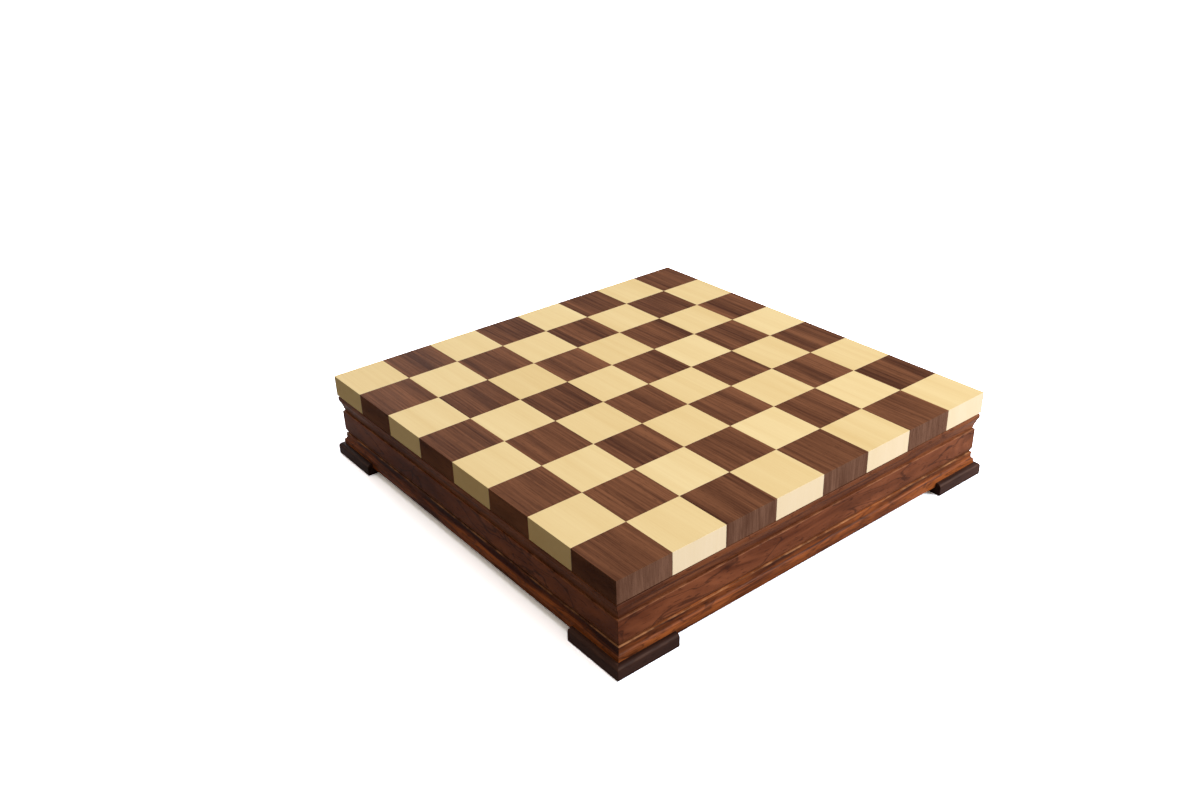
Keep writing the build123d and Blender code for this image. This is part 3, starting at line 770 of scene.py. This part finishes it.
def lay_skirt(side):
    """A skirt under one base moulding, from foot to foot."""
    low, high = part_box(f"{side}_base_moulding")
    outward = Vector((low.x + high.x, low.y + high.y, 0)).normalized()
    across = max(high.x, high.y) - SKIRT_SETBACK - SKIRT_WIDTH / 2
    place = outward * across + UP * (low.z - SKIRT_HEIGHT / 2)
    between_feet = 2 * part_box("back_right_foot")[0].x
    size = [SKIRT_WIDTH if abs(part) > 0.5 else between_feet for part in outward.xy]
    skirt = bricks((*size, SKIRT_HEIGHT), [stand(place)], SKIRT_EASE)
    new_piece(f"{side}_skirt", skirt, [base_wood])


FEET = [f"{across}_{along}_foot" for across in ("front", "back") for along in ("left", "right")]
for name in FEET:
    ease_edges(glue_up(name), 0.4)
for side in SIDES:
    lay_skirt(side)
print(len(FEET), "feet glued up,", len(SIDES), "skirts between them")

# %% [markdown]
# ## Felt lining
#
# A sheet of green felt lies on the bottom panel, under the dividers. It could be a flat plane, but felt has
# a thickness, a soft edge and a nap, so it is a fine grid with a gentle unevenness, closed below, and its
# material mixes short fibres of several greens with a soft sheen.

# %% Felt
FELT_CELLS = 90
FELT_UNEVEN = 0.08 * MM
FELT_WAVES = 60
NAP_DEPTH = 0.4 * MM

felt_even = {"Roughness": 1.0, "Specular IOR Level": 0.1, "Sheen Weight": 0.35}
felt, wiring, surface = new_material("felt", felt_even)
spot = wiring.node("ShaderNodeTexCoord").outputs["Object"]
nap = wiring.noise(spot, (900, 900, 900), detail=3.0, roughness=0.7)
patches = wiring.noise(spot, (30, 30, 30))
green = wiring.blend(wiring.mask(nap, 0.3, 0.7), tone("123a27"), tone("2f6b4a"))
green = wiring.blend(wiring.mask(patches, 0.4, 0.7), green, tone("1d4a33"))
wiring.feed(surface, {"Base Color": green, "Normal": wiring.relief(nap, 0.5, NAP_DEPTH)})

low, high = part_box("felt_lining")
middle, half = (low + high) / 2, (high - low) / 2
cloth = bmesh.new()
laid = Matrix.Translation((middle.x, middle.y, high.z)) @ Matrix.Diagonal((half.x, half.y, 1, 1))
bmesh.ops.create_grid(cloth, x_segments=FELT_CELLS, y_segments=FELT_CELLS, size=1, matrix=laid)
for vertex in cloth.verts:
    vertex.co.z -= FELT_UNEVEN * (1 + noise.noise(vertex.co * FELT_WAVES))
hem = bmesh.ops.extrude_face_region(cloth, geom=list(cloth.faces), use_keep_orig=True)
for vertex in hem["geom"]:
    if isinstance(vertex, bmesh.types.BMVert):
        vertex.co.z = low.z
bmesh.ops.recalc_face_normals(cloth, faces=list(cloth.faces))
lining = new_piece("felt_sheet", cloth, [felt], "felt_lining")
print(f"felt {(high.x - low.x) / MM:.1f} mm square, {(high.z - low.z) / MM:.1f} mm thick")

# %% [markdown]
# ## Turning the men
#
# Chessmen are turned on a lathe: a turner cuts beads, coves and tapers up a spinning blank. The same words
# work here. Each man is a list of cuts, and each cut goes to a radius and a height, straight, swelling or
# hollow. The outline is then spun about its axis. Radii are shares of the base's radius and heights shares
# of the man's height, so each man takes its size from the frame.

# %% Outlines of the men
LATHE_STEPS = 40
CURVE_STEPS = 6
ON_AXIS = 1e-6
BASE_CUTS = [
    (0, 0, 0), (0.96, 0, 0), (1.0, 0.06, 0.2), (0.97, 0.24, 0.2), (0.84, 0.34, 0.25), (0.80, 0.42, 0),
]
BODY_CUTS = {
    "pawns": [
        (0.34, 0.56, -0.12), (0.52, 0.60, 0), (0.52, 0.64, 0.4), (0.33, 0.67, 0),
        (0.565, 0.82, 0.22), (0.33, 0.97, 0.22), (0, 1.0, 0.12),
    ],
    "rooks": [
        (0.50, 0.62, -0.08), (0.60, 0.66, 0), (0.60, 0.69, 0.4), (0.50, 0.72, 0), (0.73, 0.81, -0.15),
        (0.73, 0.99, 0), (0.71, 1.0, 0), (0.47, 1.0, 0), (0.46, 0.90, 0), (0, 0.90, 0),
    ],
    "knights": [(0.70, 0.20, -0.15), (0.80, 0.22, 0.3), (0.77, 0.25, 0.3), (0, 0.27, 0)],
    "bishops": [
        (0.34, 0.58, -0.10), (0.61, 0.61, 0), (0.61, 0.65, 0.4), (0.36, 0.67, 0),
        (0.577, 0.78, 0.12), (0.20, 0.94, 0.12), (0.24, 0.97, 0.4), (0, 1.0, 0.3),
    ],
    "queen": [
        (0.32, 0.56, -0.10), (0.53, 0.595, 0), (0.53, 0.625, 0.4), (0.34, 0.65, 0), (0.655, 0.85, -0.12),
        (0.60, 0.87, 0.1), (0.20, 0.905, 0.12), (0.20, 0.96, 0.4), (0, 1.0, 0.3),
    ],
    "king": [
        (0.32, 0.55, -0.10), (0.53, 0.59, 0), (0.53, 0.625, 0.4), (0.33, 0.65, 0), (0.633, 0.815, -0.10),
        (0.633, 0.83, 0), (0.22, 0.875, 0.15), (0.16, 0.89, 0), (0, 0.89, 0),
    ],
}


def outline(cuts):
    """Points along an outline: each cut runs to (radius, height) and swells by a share of its length."""
    points = [Vector(cuts[0][:2])]
    for radius, height, swell in cuts[1:]:
        start, run = points[-1], Vector((radius, height)) - points[-1]
        outward = Vector((run.y, -run.x)) * 4 * swell
        steps = CURVE_STEPS if swell else 1
        for share in [step / steps for step in range(1, steps + 1)]:
            points.append(start + run * share + outward * share * (1 - share))
    return points


def spin(points):
    """A closed shape: the outline spun about the z axis."""
    shape = bmesh.new()
    rings = []
    for radius, height in points:
        turns = [tau * step / LATHE_STEPS for step in range(LATHE_STEPS)] if radius > ON_AXIS else [0]
        rings.append([shape.verts.new((radius * cos(a), radius * sin(a), height)) for a in turns])
    skin(shape, rings)
    return shape


def man_outline(kind, radius, height):
    """The outline of a man, in metres."""
    base = [(r * radius, h * radius, swell) for r, h, swell in BASE_CUTS]
    return outline(base + [(r * radius, h * height, swell) for r, h, swell in BODY_CUTS[kind]])


print({kind: len(man_outline(kind, 1, 4)) for kind in BODY_CUTS})

# %% [markdown]
# ## Carving the men
#
# What the lathe can't do is carved afterwards: battlements on the rook, a slit in the bishop's mitre, a
# scalloped coronet on the queen, a cross on the king and a horse's head on the knight. Cutting a shape out
# of another is what the Boolean modifier does, as a carver's saw would, so each man is spun first and then
# cut or joined. The horse's head is also sanded: Remesh gives it an even fine grain, and Smooth rounds its
# hard cuts.

# %% Carved details
HORSE_CUTS = [
    (0.165, 0.22, 0), (0.0, 0.50, -0.16), (0.05, 0.64, -0.12), (0.15, 0.64, 0.15), (0.215, 0.635, 0.15),
    (0.238, 0.70, 0.3), (-0.005, 0.93, 0.07), (-0.045, 1.0, 0), (-0.08, 0.92, 0), (-0.175, 0.22, 0.13),
]
HORSE_THICKNESS = 0.21
HORSE_LAYERS = [(-1.0, 0.03), (-0.75, 0.006), (-0.5, 0.0), (0.5, 0.0), (0.75, 0.006), (1.0, 0.03)]
JAW = Vector((0.075, 0.04, 0.08))
EYE = Vector((0.022, 0.022, 0.022))
NOSTRIL = Vector((0.02, 0.02, 0.02))
MOUTH_TILT = radians(15)
LOCK_TILT = radians(30)
SANDED_GRAIN = 0.5 * MM
SANDINGS = 5
SCALLOPS = 8
CROSS_EASE = 0.3 * MM


def carve(blank, tools, operation, sand=False):
    """Cut tools out of a blank, or join them to it, with the Boolean modifier, and sand it round."""
    meshes = [as_mesh("carving", shape) for shape in (blank, *tools)]
    things = [bpy.data.objects.new("carving", mesh) for mesh in meshes]
    for thing in things:
        scene.collection.objects.link(thing)
    for tool in things[1:]:
        boolean = things[0].modifiers.new("carve", "BOOLEAN")
        boolean.operation = operation
        boolean.solver = "MANIFOLD"
        boolean.object = tool
    if sand:
        grain = things[0].modifiers.new("even_grain", "REMESH")
        grain.mode = "VOXEL"
        grain.voxel_size = SANDED_GRAIN
        things[0].modifiers.new("sanded", "SMOOTH").iterations = SANDINGS
    result = bmesh.new()
    result.from_object(things[0], bpy.context.evaluated_depsgraph_get())
    bmesh.ops.dissolve_degenerate(result, dist=WELD, edges=list(result.edges))
    for thing, mesh in zip(things, meshes):
        bpy.data.objects.remove(thing)
        bpy.data.meshes.remove(mesh)
    return result


def drawn_in(points, inset):
    """A closed outline that runs anticlockwise, moved inwards point by point."""
    moved = []
    for before, here, after in zip(points[-1:] + points[:-1], points, points[1:] + points[:1]):
        way = ((here - before).normalized() + (after - here).normalized()).normalized()
        moved.append(here + Vector((-way.y, way.x)) * inset)
    return moved


def horse_head(height):
    """A horse's head and neck: its outline in layers, rounded over towards both cheeks."""
    shape = bmesh.new()
    rings = []
    for side, inset in HORSE_LAYERS:
        flat = drawn_in(outline(HORSE_CUTS), inset)
        depth = side * HORSE_THICKNESS / 2
        rings.append([shape.verts.new(Vector((p.x, depth, p.y)) * height) for p in flat])
    skin(shape, rings, cut_caps=True)
    return shape


def ball(place, size):
    """A ball, or an egg where its three half sizes differ."""
    shape = bmesh.new()
    placing = Matrix.Translation(place) @ Matrix.Diagonal((*size, 1))
    bmesh.ops.create_icosphere(shape, subdivisions=2, radius=1, matrix=placing)
    return shape


def carve_knight(base, height):
    """A horse's head on a turned base, with jaws, eyes, nostrils, a mouth and a cut mane."""
    cheek = HORSE_THICKNESS / 2

    def both_sides(x, share, z, size):
        """A ball on each cheek, at a share of its depth."""
        return [ball(Vector((x, side * share, z)) * height, size * height) for side in (-cheek, cheek)]

    jaws = both_sides(0.095, 0.80, 0.735, JAW)
    eyes = both_sides(0.085, 1.0, 0.845, EYE)
    nostrils = both_sides(0.215, 0.9, 0.69, NOSTRIL)
    groove = Vector((0.09, 3 * cheek, 0.022)) * height
    mouth = bricks(groove, [stand(Vector((0.225, 0, 0.655)) * height, (0, MOUTH_TILT, 0))])
    crest = [Vector((p.x, 0, p.y)) * height for p in outline(HORSE_CUTS)[-CURVE_STEPS - 1 : -1]]
    locks = [stand((upper + lower) / 2, (0, LOCK_TILT, 0)) for upper, lower in pairwise(crest)]
    mane = [bricks(groove, [lock]) for lock in locks]
    head = carve(horse_head(height), [*jaws, *eyes], "UNION")
    head = carve(head, [*nostrils, mouth, *mane], "DIFFERENCE", sand=True)
    return carve(base, [head], "UNION")


def make_man(kind, radius, height):
    """A standing man: spun, then carved."""
    man = spin(man_outline(kind, radius, height))
    if kind == "rooks":
        bar = (4 * radius, 0.30 * radius, 0.18 * height)
        bars = [bricks(bar, [stand((0, 0, height), (0, 0, turn))]) for turn in (0, pi / 2)]
        return carve(man, bars, "DIFFERENCE")
    if kind == "bishops":
        slit = (2 * radius, 0.8 * radius, 0.10 * radius)
        place = stand((0, -0.42 * radius, 0.86 * height), (-pi / 4, 0, 0))
        return carve(man, [bricks(slit, [place])], "DIFFERENCE")
    if kind == "queen":
        turns = [tau * number / SCALLOPS for number in range(SCALLOPS)]
        rim = [Vector((0.66 * radius * cos(a), 0.66 * radius * sin(a), 0.875 * height)) for a in turns]
        return carve(man, [ball(spot, [0.17 * radius] * 3) for spot in rim], "DIFFERENCE")
    if kind == "king":
        post = (0.19 * radius, 0.19 * radius, 0.135 * height)
        arms = (0.46 * radius, 0.18 * radius, 0.038 * height)
        levels = ((post, 0.9325), (arms, 0.95))
        cross = [bricks(bar, [stand((0, 0, level * height))], CROSS_EASE) for bar, level in levels]
        return carve(man, cross, "UNION")
    if kind == "knights":
        return carve_knight(man, height)
    return man


print("carved:", ", ".join(kind for kind in BODY_CUTS if kind != "pawns"))

# %% [markdown]
# ## Laying the men in their cells
#
# A man that is put away lies on the rim of its base and on the widest part above it, so its axis dips a
# little towards the head. The frame's solids already lie like that, one to a file of the board, and each
# one's box gives the base, the height and the spot where the rim touches the felt.

# %% Chessmen
FILES = 8
HEADINGS = {"light": Vector((0, 1, 0)), "dark": Vector((0, -1, 0)), "pawns": Vector((1, 0, 0))}
made_men = {}


def men_of(node):
    """The lowest and highest corners of each man of a node, file by file."""
    low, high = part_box("felt_lining")
    files = {}
    for vertex in nodes[node].data.vertices:
        file = int((vertex.co.x - low.x) / (high.x - low.x) * FILES)
        files.setdefault(file, []).append(vertex.co)
    return [(Vector(map(min, zip(*spots))), Vector(map(max, zip(*spots)))) for spots in files.values()]


def lay(kind, heading, low, high):
    """A man's size and the matrix that lays it down in the box between two corners."""
    sideways = heading.cross(UP)
    across = abs((high - low).dot(sideways))
    length = abs((high - low).dot(heading))
    radius = across / 2
    solid_tilt = acos(min(1.0, (high.z - low.z) / across))
    height = (length - radius * sin(solid_tilt)) / cos(solid_tilt)
    points = man_outline(kind, radius, height)
    if kind == "knights":
        points.append(Vector((HORSE_THICKNESS / 2 * height, height)))
    tilt = min(atan2(radius - point.x, point.y) for point in points if point.y > radius)
    axis = heading * cos(tilt) - UP * sin(tilt)
    rim = (low + high) / 2 - heading * length / 2
    rim.z = low.z
    foot = rim + (UP * cos(tilt) + heading * sin(tilt)) * radius
    turn = Matrix((sideways, axis.cross(sideways), axis)).transposed().to_4x4()
    return (kind, round(radius / MM, 2), round(height / MM, 2)), Matrix.Translation(foot) @ turn


def set_down(shape, blank, placing, grain="xyz"):
    """Add a copy of a turned blank to a shape, and keep each point's place on the lathe."""
    layers = shape.verts.layers.float_vector
    on_lathe = layers.get("lathe_place") or layers.new("lathe_place")
    first = len(shape.verts)
    shape.from_mesh(blank)
    shape.verts.ensure_lookup_table()
    for vertex in shape.verts[first:]:
        vertex[on_lathe] = getattr(vertex.co, grain)
        vertex.co = placing @ vertex.co


def turned_piece(shape, colour, kind):
    """A piece of turned wood that stands for the games of one colour and kind."""
    name = f"{colour}_{kind}"
    new_piece(f"turned_{name}", shape, [men_woods[colour]], name)


def lay_men(colour, kind):
    """All the men of one kind and colour, as one piece."""
    heading = HEADINGS["pawns" if kind == "pawns" else colour]
    shape = bmesh.new()
    for low, high in men_of(f"{colour}_{kind}"):
        size, laying = lay(kind, heading, low, high)
        if size not in made_men:
            made_men[size] = as_mesh("_".join(map(str, size)), make_man(kind, size[1] * MM, size[2] * MM))
        set_down(shape, made_men[size], laying)
    turned_piece(shape, colour, kind)


for colour in men_woods:
    for kind in BODY_CUTS:
        lay_men(colour, kind)
print("men made:", sorted(made_men))

# %% [markdown]
# ## Draughts
#
# The draughts are turned discs with a raised rim and a ring on both faces, so that they stack. They stand
# on edge in two rolls. They use the same lathe as the men, laid along the roll.

# %% Draughts
DRAUGHTS = 12
DRAUGHT_SHARE = 0.985
FACE_CUTS = [
    (0, 0.12), (0.36, 0.12), (0.40, 0.03), (0.50, 0.03), (0.54, 0.14), (0.70, 0.14), (0.75, 0.0), (0.95, 0.0),
]
RIM_CUTS = [(1.0, 0.08), (1.0, 0.40), (0.975, 0.44), (0.975, 0.50)]


def roll_draughts(colour):
    """One roll of draughts, each a little turned about its axis."""
    low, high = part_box(f"{colour}_draughts")
    middle = (low + high) / 2
    pitch = (high.y - low.y) / DRAUGHTS
    radius = (high.x - low.x) / 2
    half = FACE_CUTS + RIM_CUTS
    whole = dict.fromkeys(half + [(r, 1 - h) for r, h in reversed(half)])
    disc = spin(outline([(r * radius, (h - 0.5) * pitch * DRAUGHT_SHARE, 0) for r, h in whole]))
    disc = as_mesh(f"{colour}_draught", disc)
    shape = bmesh.new()
    chance = Random(colour)
    for number in range(DRAUGHTS):
        spot = (middle.x, low.y + (number + 0.5) * pitch, middle.z)
        turn = Matrix.Rotation(pi / 2, 4, "X") @ Matrix.Rotation(chance.uniform(0, tau), 4, "Z")
        set_down(shape, disc, Matrix.Translation(spot) @ turn, grain="zxy")
    turned_piece(shape, colour, "draughts")


for colour in men_woods:
    roll_draughts(colour)
print(2 * DRAUGHTS, "draughts")

# %% [markdown]
# ## Dominoes and dice
#
# Both are moulded plastic with painted pips. The pips could be a texture, but a small disc for each gives a
# crisp edge from any side. One table of pip places serves both games: the letters a to i name the nine
# spots of a face, row by row.

# %% Plastic materials
plastic_inputs = {"Base": tone("f0ead8"), "Deep": tone("ddd2b4"), "Gloss": 0.3}
wiring, given, result = new_group("Moulded plastic", plastic_inputs, SURFACE)
spot = wiring.node("ShaderNodeTexCoord").outputs["Object"]
flow = wiring.noise(spot, (70, 70, 70), detail=3.0)
scuffs = wiring.noise(spot, (1400, 300, 900))
colour = wiring.blend(wiring.mask(flow, 0.35, 0.7), given["Base"], given["Deep"])
roughness = wiring.math("ADD", given["Gloss"], wiring.centred(scuffs, 0.25))
wiring.feed(result, {"Color": colour, "Roughness": roughness, "Height": scuffs})


def plastic(name, base, deep, gloss):
    """Moulded plastic with a faint flow of colour and fine scuffs."""
    material, wiring, surface = new_material(name, {"Specular IOR Level": 0.25})
    moulded = wiring.group("Moulded plastic", {"Base": tone(base), "Deep": tone(deep), "Gloss": gloss})
    finish(wiring, surface, moulded["Color"], moulded, bump=0.04)
    return material


ivory_plastic = plastic("ivory_plastic", "f1e7cd", "e2d3ab", 0.32)
white_plastic = plastic("white_plastic", "f2f0ea", "e4e1d8", 0.25)
pip_paint = plastic("pip_paint", "1b1a19", "2a2826", 0.35)
print("plastics:", ivory_plastic.name, white_plastic.name, pip_paint.name)

# %% Dominoes and dice
PIPS = {0: "", 1: "e", 2: "ai", 3: "aei", 4: "acgi", 5: "acegi", 6: "acdfgi"}
PIP_PROUD = 0.06 * MM
PIP_FLATS = 20
PIP_TAPER = 0.92


def pip_spots(number):
    """Places of a number's pips on a face that runs from -1 to 1 both ways."""
    spots = [divmod("abcdefghi".index(letter), 3) for letter in PIPS[number]]
    return [(column - 1, 1 - row) for row, column in spots]


def paint(made):
    """Give the faces of newly made corners the paint of the pips."""
    for face in {face for vertex in made["verts"] for face in vertex.link_faces}:
        face.material_index = 1


def add_pips(shape, facing, number, spacing, radius):
    """Painted discs on a face whose middle and outward z axis the matrix gives."""
    disc = {"segments": PIP_FLATS, "radius1": radius, "radius2": radius * PIP_TAPER, "depth": 2 * PIP_PROUD}
    for x, y in pip_spots(number):
        place = facing @ Matrix.Translation((x * spacing, y * spacing, 0))
        paint(bmesh.ops.create_cone(shape, cap_ends=True, matrix=place, **disc))


ACROSS, ALONG = 3, 2
TILE_GAP = 0.1 * MM
TILE_EASE = 0.7 * MM
TILE_PIP_SPACING = 0.26
TILE_PIP_RADIUS = 0.075
BAR_LENGTH = 0.76
BAR_WIDTH = 0.8 * MM
low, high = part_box("dominoes")
tiles = list(combinations_with_replacement(range(7), 2))
Random(28).shuffle(tiles)
LAYERS = -(-len(tiles) // (ACROSS * ALONG))
pitch = Vector(((high.x - low.x) / ACROSS, (high.y - low.y) / ALONG, (high.z - low.z) / LAYERS))
tile = pitch - Vector((TILE_GAP, TILE_GAP, TILE_GAP))
spots = []
for number in range(len(tiles)):
    layer, stack = divmod(number, ACROSS * ALONG)
    row, column = divmod(stack, ACROSS)
    spots.append(low + Vector((column + 0.5, row + 0.5, layer + 0.5)) * pitch)
shape = bricks(tile, [stand(spot) for spot in spots], TILE_EASE, steps=3)
for spot, ends in zip(spots, tiles):
    top = stand(spot + UP * tile.z / 2)
    for end, number in zip((-1, 1), ends):
        half = top @ Matrix.Translation((0, end * tile.y / 4, 0))
        add_pips(shape, half, number, TILE_PIP_SPACING * tile.x, TILE_PIP_RADIUS * tile.x)
    bar = Matrix.Diagonal((BAR_LENGTH * tile.x, BAR_WIDTH, 2 * PIP_PROUD, 1))
    paint(bmesh.ops.create_cube(shape, size=1, matrix=top @ bar))
new_piece("domino_tiles", shape, [ivory_plastic, pip_paint], "dominoes")

DIE_TURNS = [(0, 0, 0), (90, 0, 0), (0, 90, 0), (180, 0, 90), (0, -90, 0)]
FACES = {1: (0, 0, 0), 6: (180, 0, 0), 2: (90, 0, 0), 5: (-90, 0, 0), 3: (0, 90, 0), 4: (0, -90, 0)}
DIE_EASE = 1.8 * MM
DIE_PIP_SPACING = 0.25
DIE_PIP_RADIUS = 0.09


def turned(place, degrees):
    """The matrix that turns a die by so many degrees and moves it to its place."""
    return stand(place, [radians(angle) for angle in degrees])


low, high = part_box("dice")
die = high.z - low.z
spots = []
for number, turn in enumerate(DIE_TURNS):
    row, column = divmod(number, 2)
    x = (low.x + die / 2, high.x - die / 2)[column]
    y = low.y + die / 2 + row * (high.y - low.y - die) / 2
    spots.append(turned((x, y, (low.z + high.z) / 2), turn))
shape = bricks((die, die, die), spots, DIE_EASE, steps=4)
for spot in spots:
    for number, turn in FACES.items():
        facing = spot @ turned((0, 0, 0), turn) @ Matrix.Translation((0, 0, die / 2))
        add_pips(shape, facing, number, DIE_PIP_SPACING * die, DIE_PIP_RADIUS * die)
new_piece("dice_cubes", shape, [white_plastic, pip_paint], "dice")
print(len(tiles), "dominoes,", len(DIE_TURNS), "dice")

# %% [markdown]
# ## Packs of cards
#
# A pack is a stack of thin card with rounded corners, never quite square. A single block would look like a
# brick, so the pack is built of thin slabs that are each pushed and turned a hair. The back of the top card
# has a plain lattice inside a white border, drawn by two slanting waves.

# %% Card packs
LATTICE_WAVES = 900.0
LINE_STARTS = (0.0040, 0.0042)
LINE_ENDS = (0.0053, 0.0050)
LATTICE_STARTS = (0.0058, 0.0060)
LINEN_DEPTH = 0.1 * MM

card_inputs = {"Ink": tone("9a1f24"), "Paper": tone("f3efe6")}
card_inputs |= {"Middle": 0.0, "Half width": 0.03, "Half length": 0.04}
wiring, given, result = new_group("Card back", card_inputs, {"Color": tone("000000"), "Height": 0.0})
coordinates = wiring.node("ShaderNodeTexCoord").outputs
x, y, _ = wiring.separate(coordinates["Object"])
x = wiring.math("SUBTRACT", x, given["Middle"])
waves = [wiring.math("MULTIPLY", wiring.math(how, x, y), LATTICE_WAVES) for how in ("ADD", "SUBTRACT")]
slants = [wiring.math("ABSOLUTE", wiring.math("SINE", wave)) for wave in waves]
lattice = wiring.mask(wiring.math("MINIMUM", *slants), 0.16, 0.26)
edge_x = wiring.math("SUBTRACT", given["Half width"], wiring.math("ABSOLUTE", x))
edge_y = wiring.math("SUBTRACT", given["Half length"], wiring.math("ABSOLUTE", y))
margin = wiring.math("MINIMUM", edge_x, edge_y)
printed = wiring.math("MULTIPLY", wiring.mask(margin, *LINE_STARTS), wiring.mask(margin, *LINE_ENDS))
inside = wiring.math("MULTIPLY", wiring.mask(margin, *LATTICE_STARTS), lattice)
facing_up = wiring.mask(wiring.separate(coordinates["Normal"])[2], 0.5, 0.8)
inked = wiring.math("MULTIPLY", wiring.math("MAXIMUM", printed, inside), facing_up)
fibre = wiring.noise(coordinates["Object"], (500, 500, 3000))
paper = wiring.blend(wiring.mask(fibre, 0.3, 0.75), given["Paper"], tone("d9d3c6"))
wiring.feed(result, {"Color": wiring.blend(inked, paper, given["Ink"]), "Height": fibre})

SLABS = 18
CORNER = 3.5 * MM
CORNER_STEPS = 6
SLACK = 0.3 * MM
PUSH_SHARE = 0.6
TURN = radians(0.1)
SLAB_FACES = (0.02, 0.98)


def card_outline(half_width, half_length):
    """A rectangle with rounded corners."""
    points = []
    for number, (x, y) in enumerate(((1, 1), (-1, 1), (-1, -1), (1, -1))):
        middle = Vector((x * (half_width - CORNER), y * (half_length - CORNER), 0))
        for step in range(CORNER_STEPS + 1):
            angle = (number + step / CORNER_STEPS) * pi / 2
            points.append(middle + Vector((cos(angle), sin(angle), 0)) * CORNER)
    return points


def stack_cards(colour, ink):
    """A pack of cards as a stack of slabs that don't quite line up."""
    name = f"{colour}_card_pack"
    low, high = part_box(name)
    middle = (low + high) / 2
    half_width, half_length = [extent / 2 - SLACK for extent in (high - low).xy]
    material, wiring, surface = new_material(f"{colour}_card", {"Roughness": 0.45, "Specular IOR Level": 0.2})
    card = {"Ink": tone(ink), "Middle": middle.x, "Half width": half_width, "Half length": half_length}
    back = wiring.group("Card back", card)
    linen = wiring.relief(back["Height"], 0.1, LINEN_DEPTH)
    wiring.feed(surface, {"Base Color": back["Color"], "Normal": linen})
    chance = Random(colour)
    shape = bmesh.new()
    edge = card_outline(half_width, half_length)
    thickness = (high.z - low.z) / SLABS
    for number in range(SLABS):
        push = Vector((chance.uniform(-1, 1), chance.uniform(-1, 1), 0)) * SLACK * PUSH_SHARE
        turn = Matrix.Rotation(chance.uniform(-1, 1) * TURN, 4, "Z")
        place = Matrix.Translation(Vector((middle.x, middle.y, low.z)) + push) @ turn
        levels = [(number + share) * thickness for share in SLAB_FACES]
        skin(shape, [[shape.verts.new(place @ (point + UP * level)) for point in edge] for level in levels])
    new_piece(f"{colour}_cards", shape, [material], name)


stack_cards("red", "9a1f24")
stack_cards("blue", "1d3f7d")
print("two packs of", SLABS, "slabs")

# %% [markdown]
# ## Sizes
#
# The solids' box from the start is compared with the box of what shows now, and the largest change is
# printed.

# %% Compare sizes and finish
visual_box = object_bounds()
growth = [abs(new - old) / MM for was, now in zip(cad_box, visual_box) for old, new in zip(was, now)]
print(f"largest change of the box {max(growth):.2f} mm")
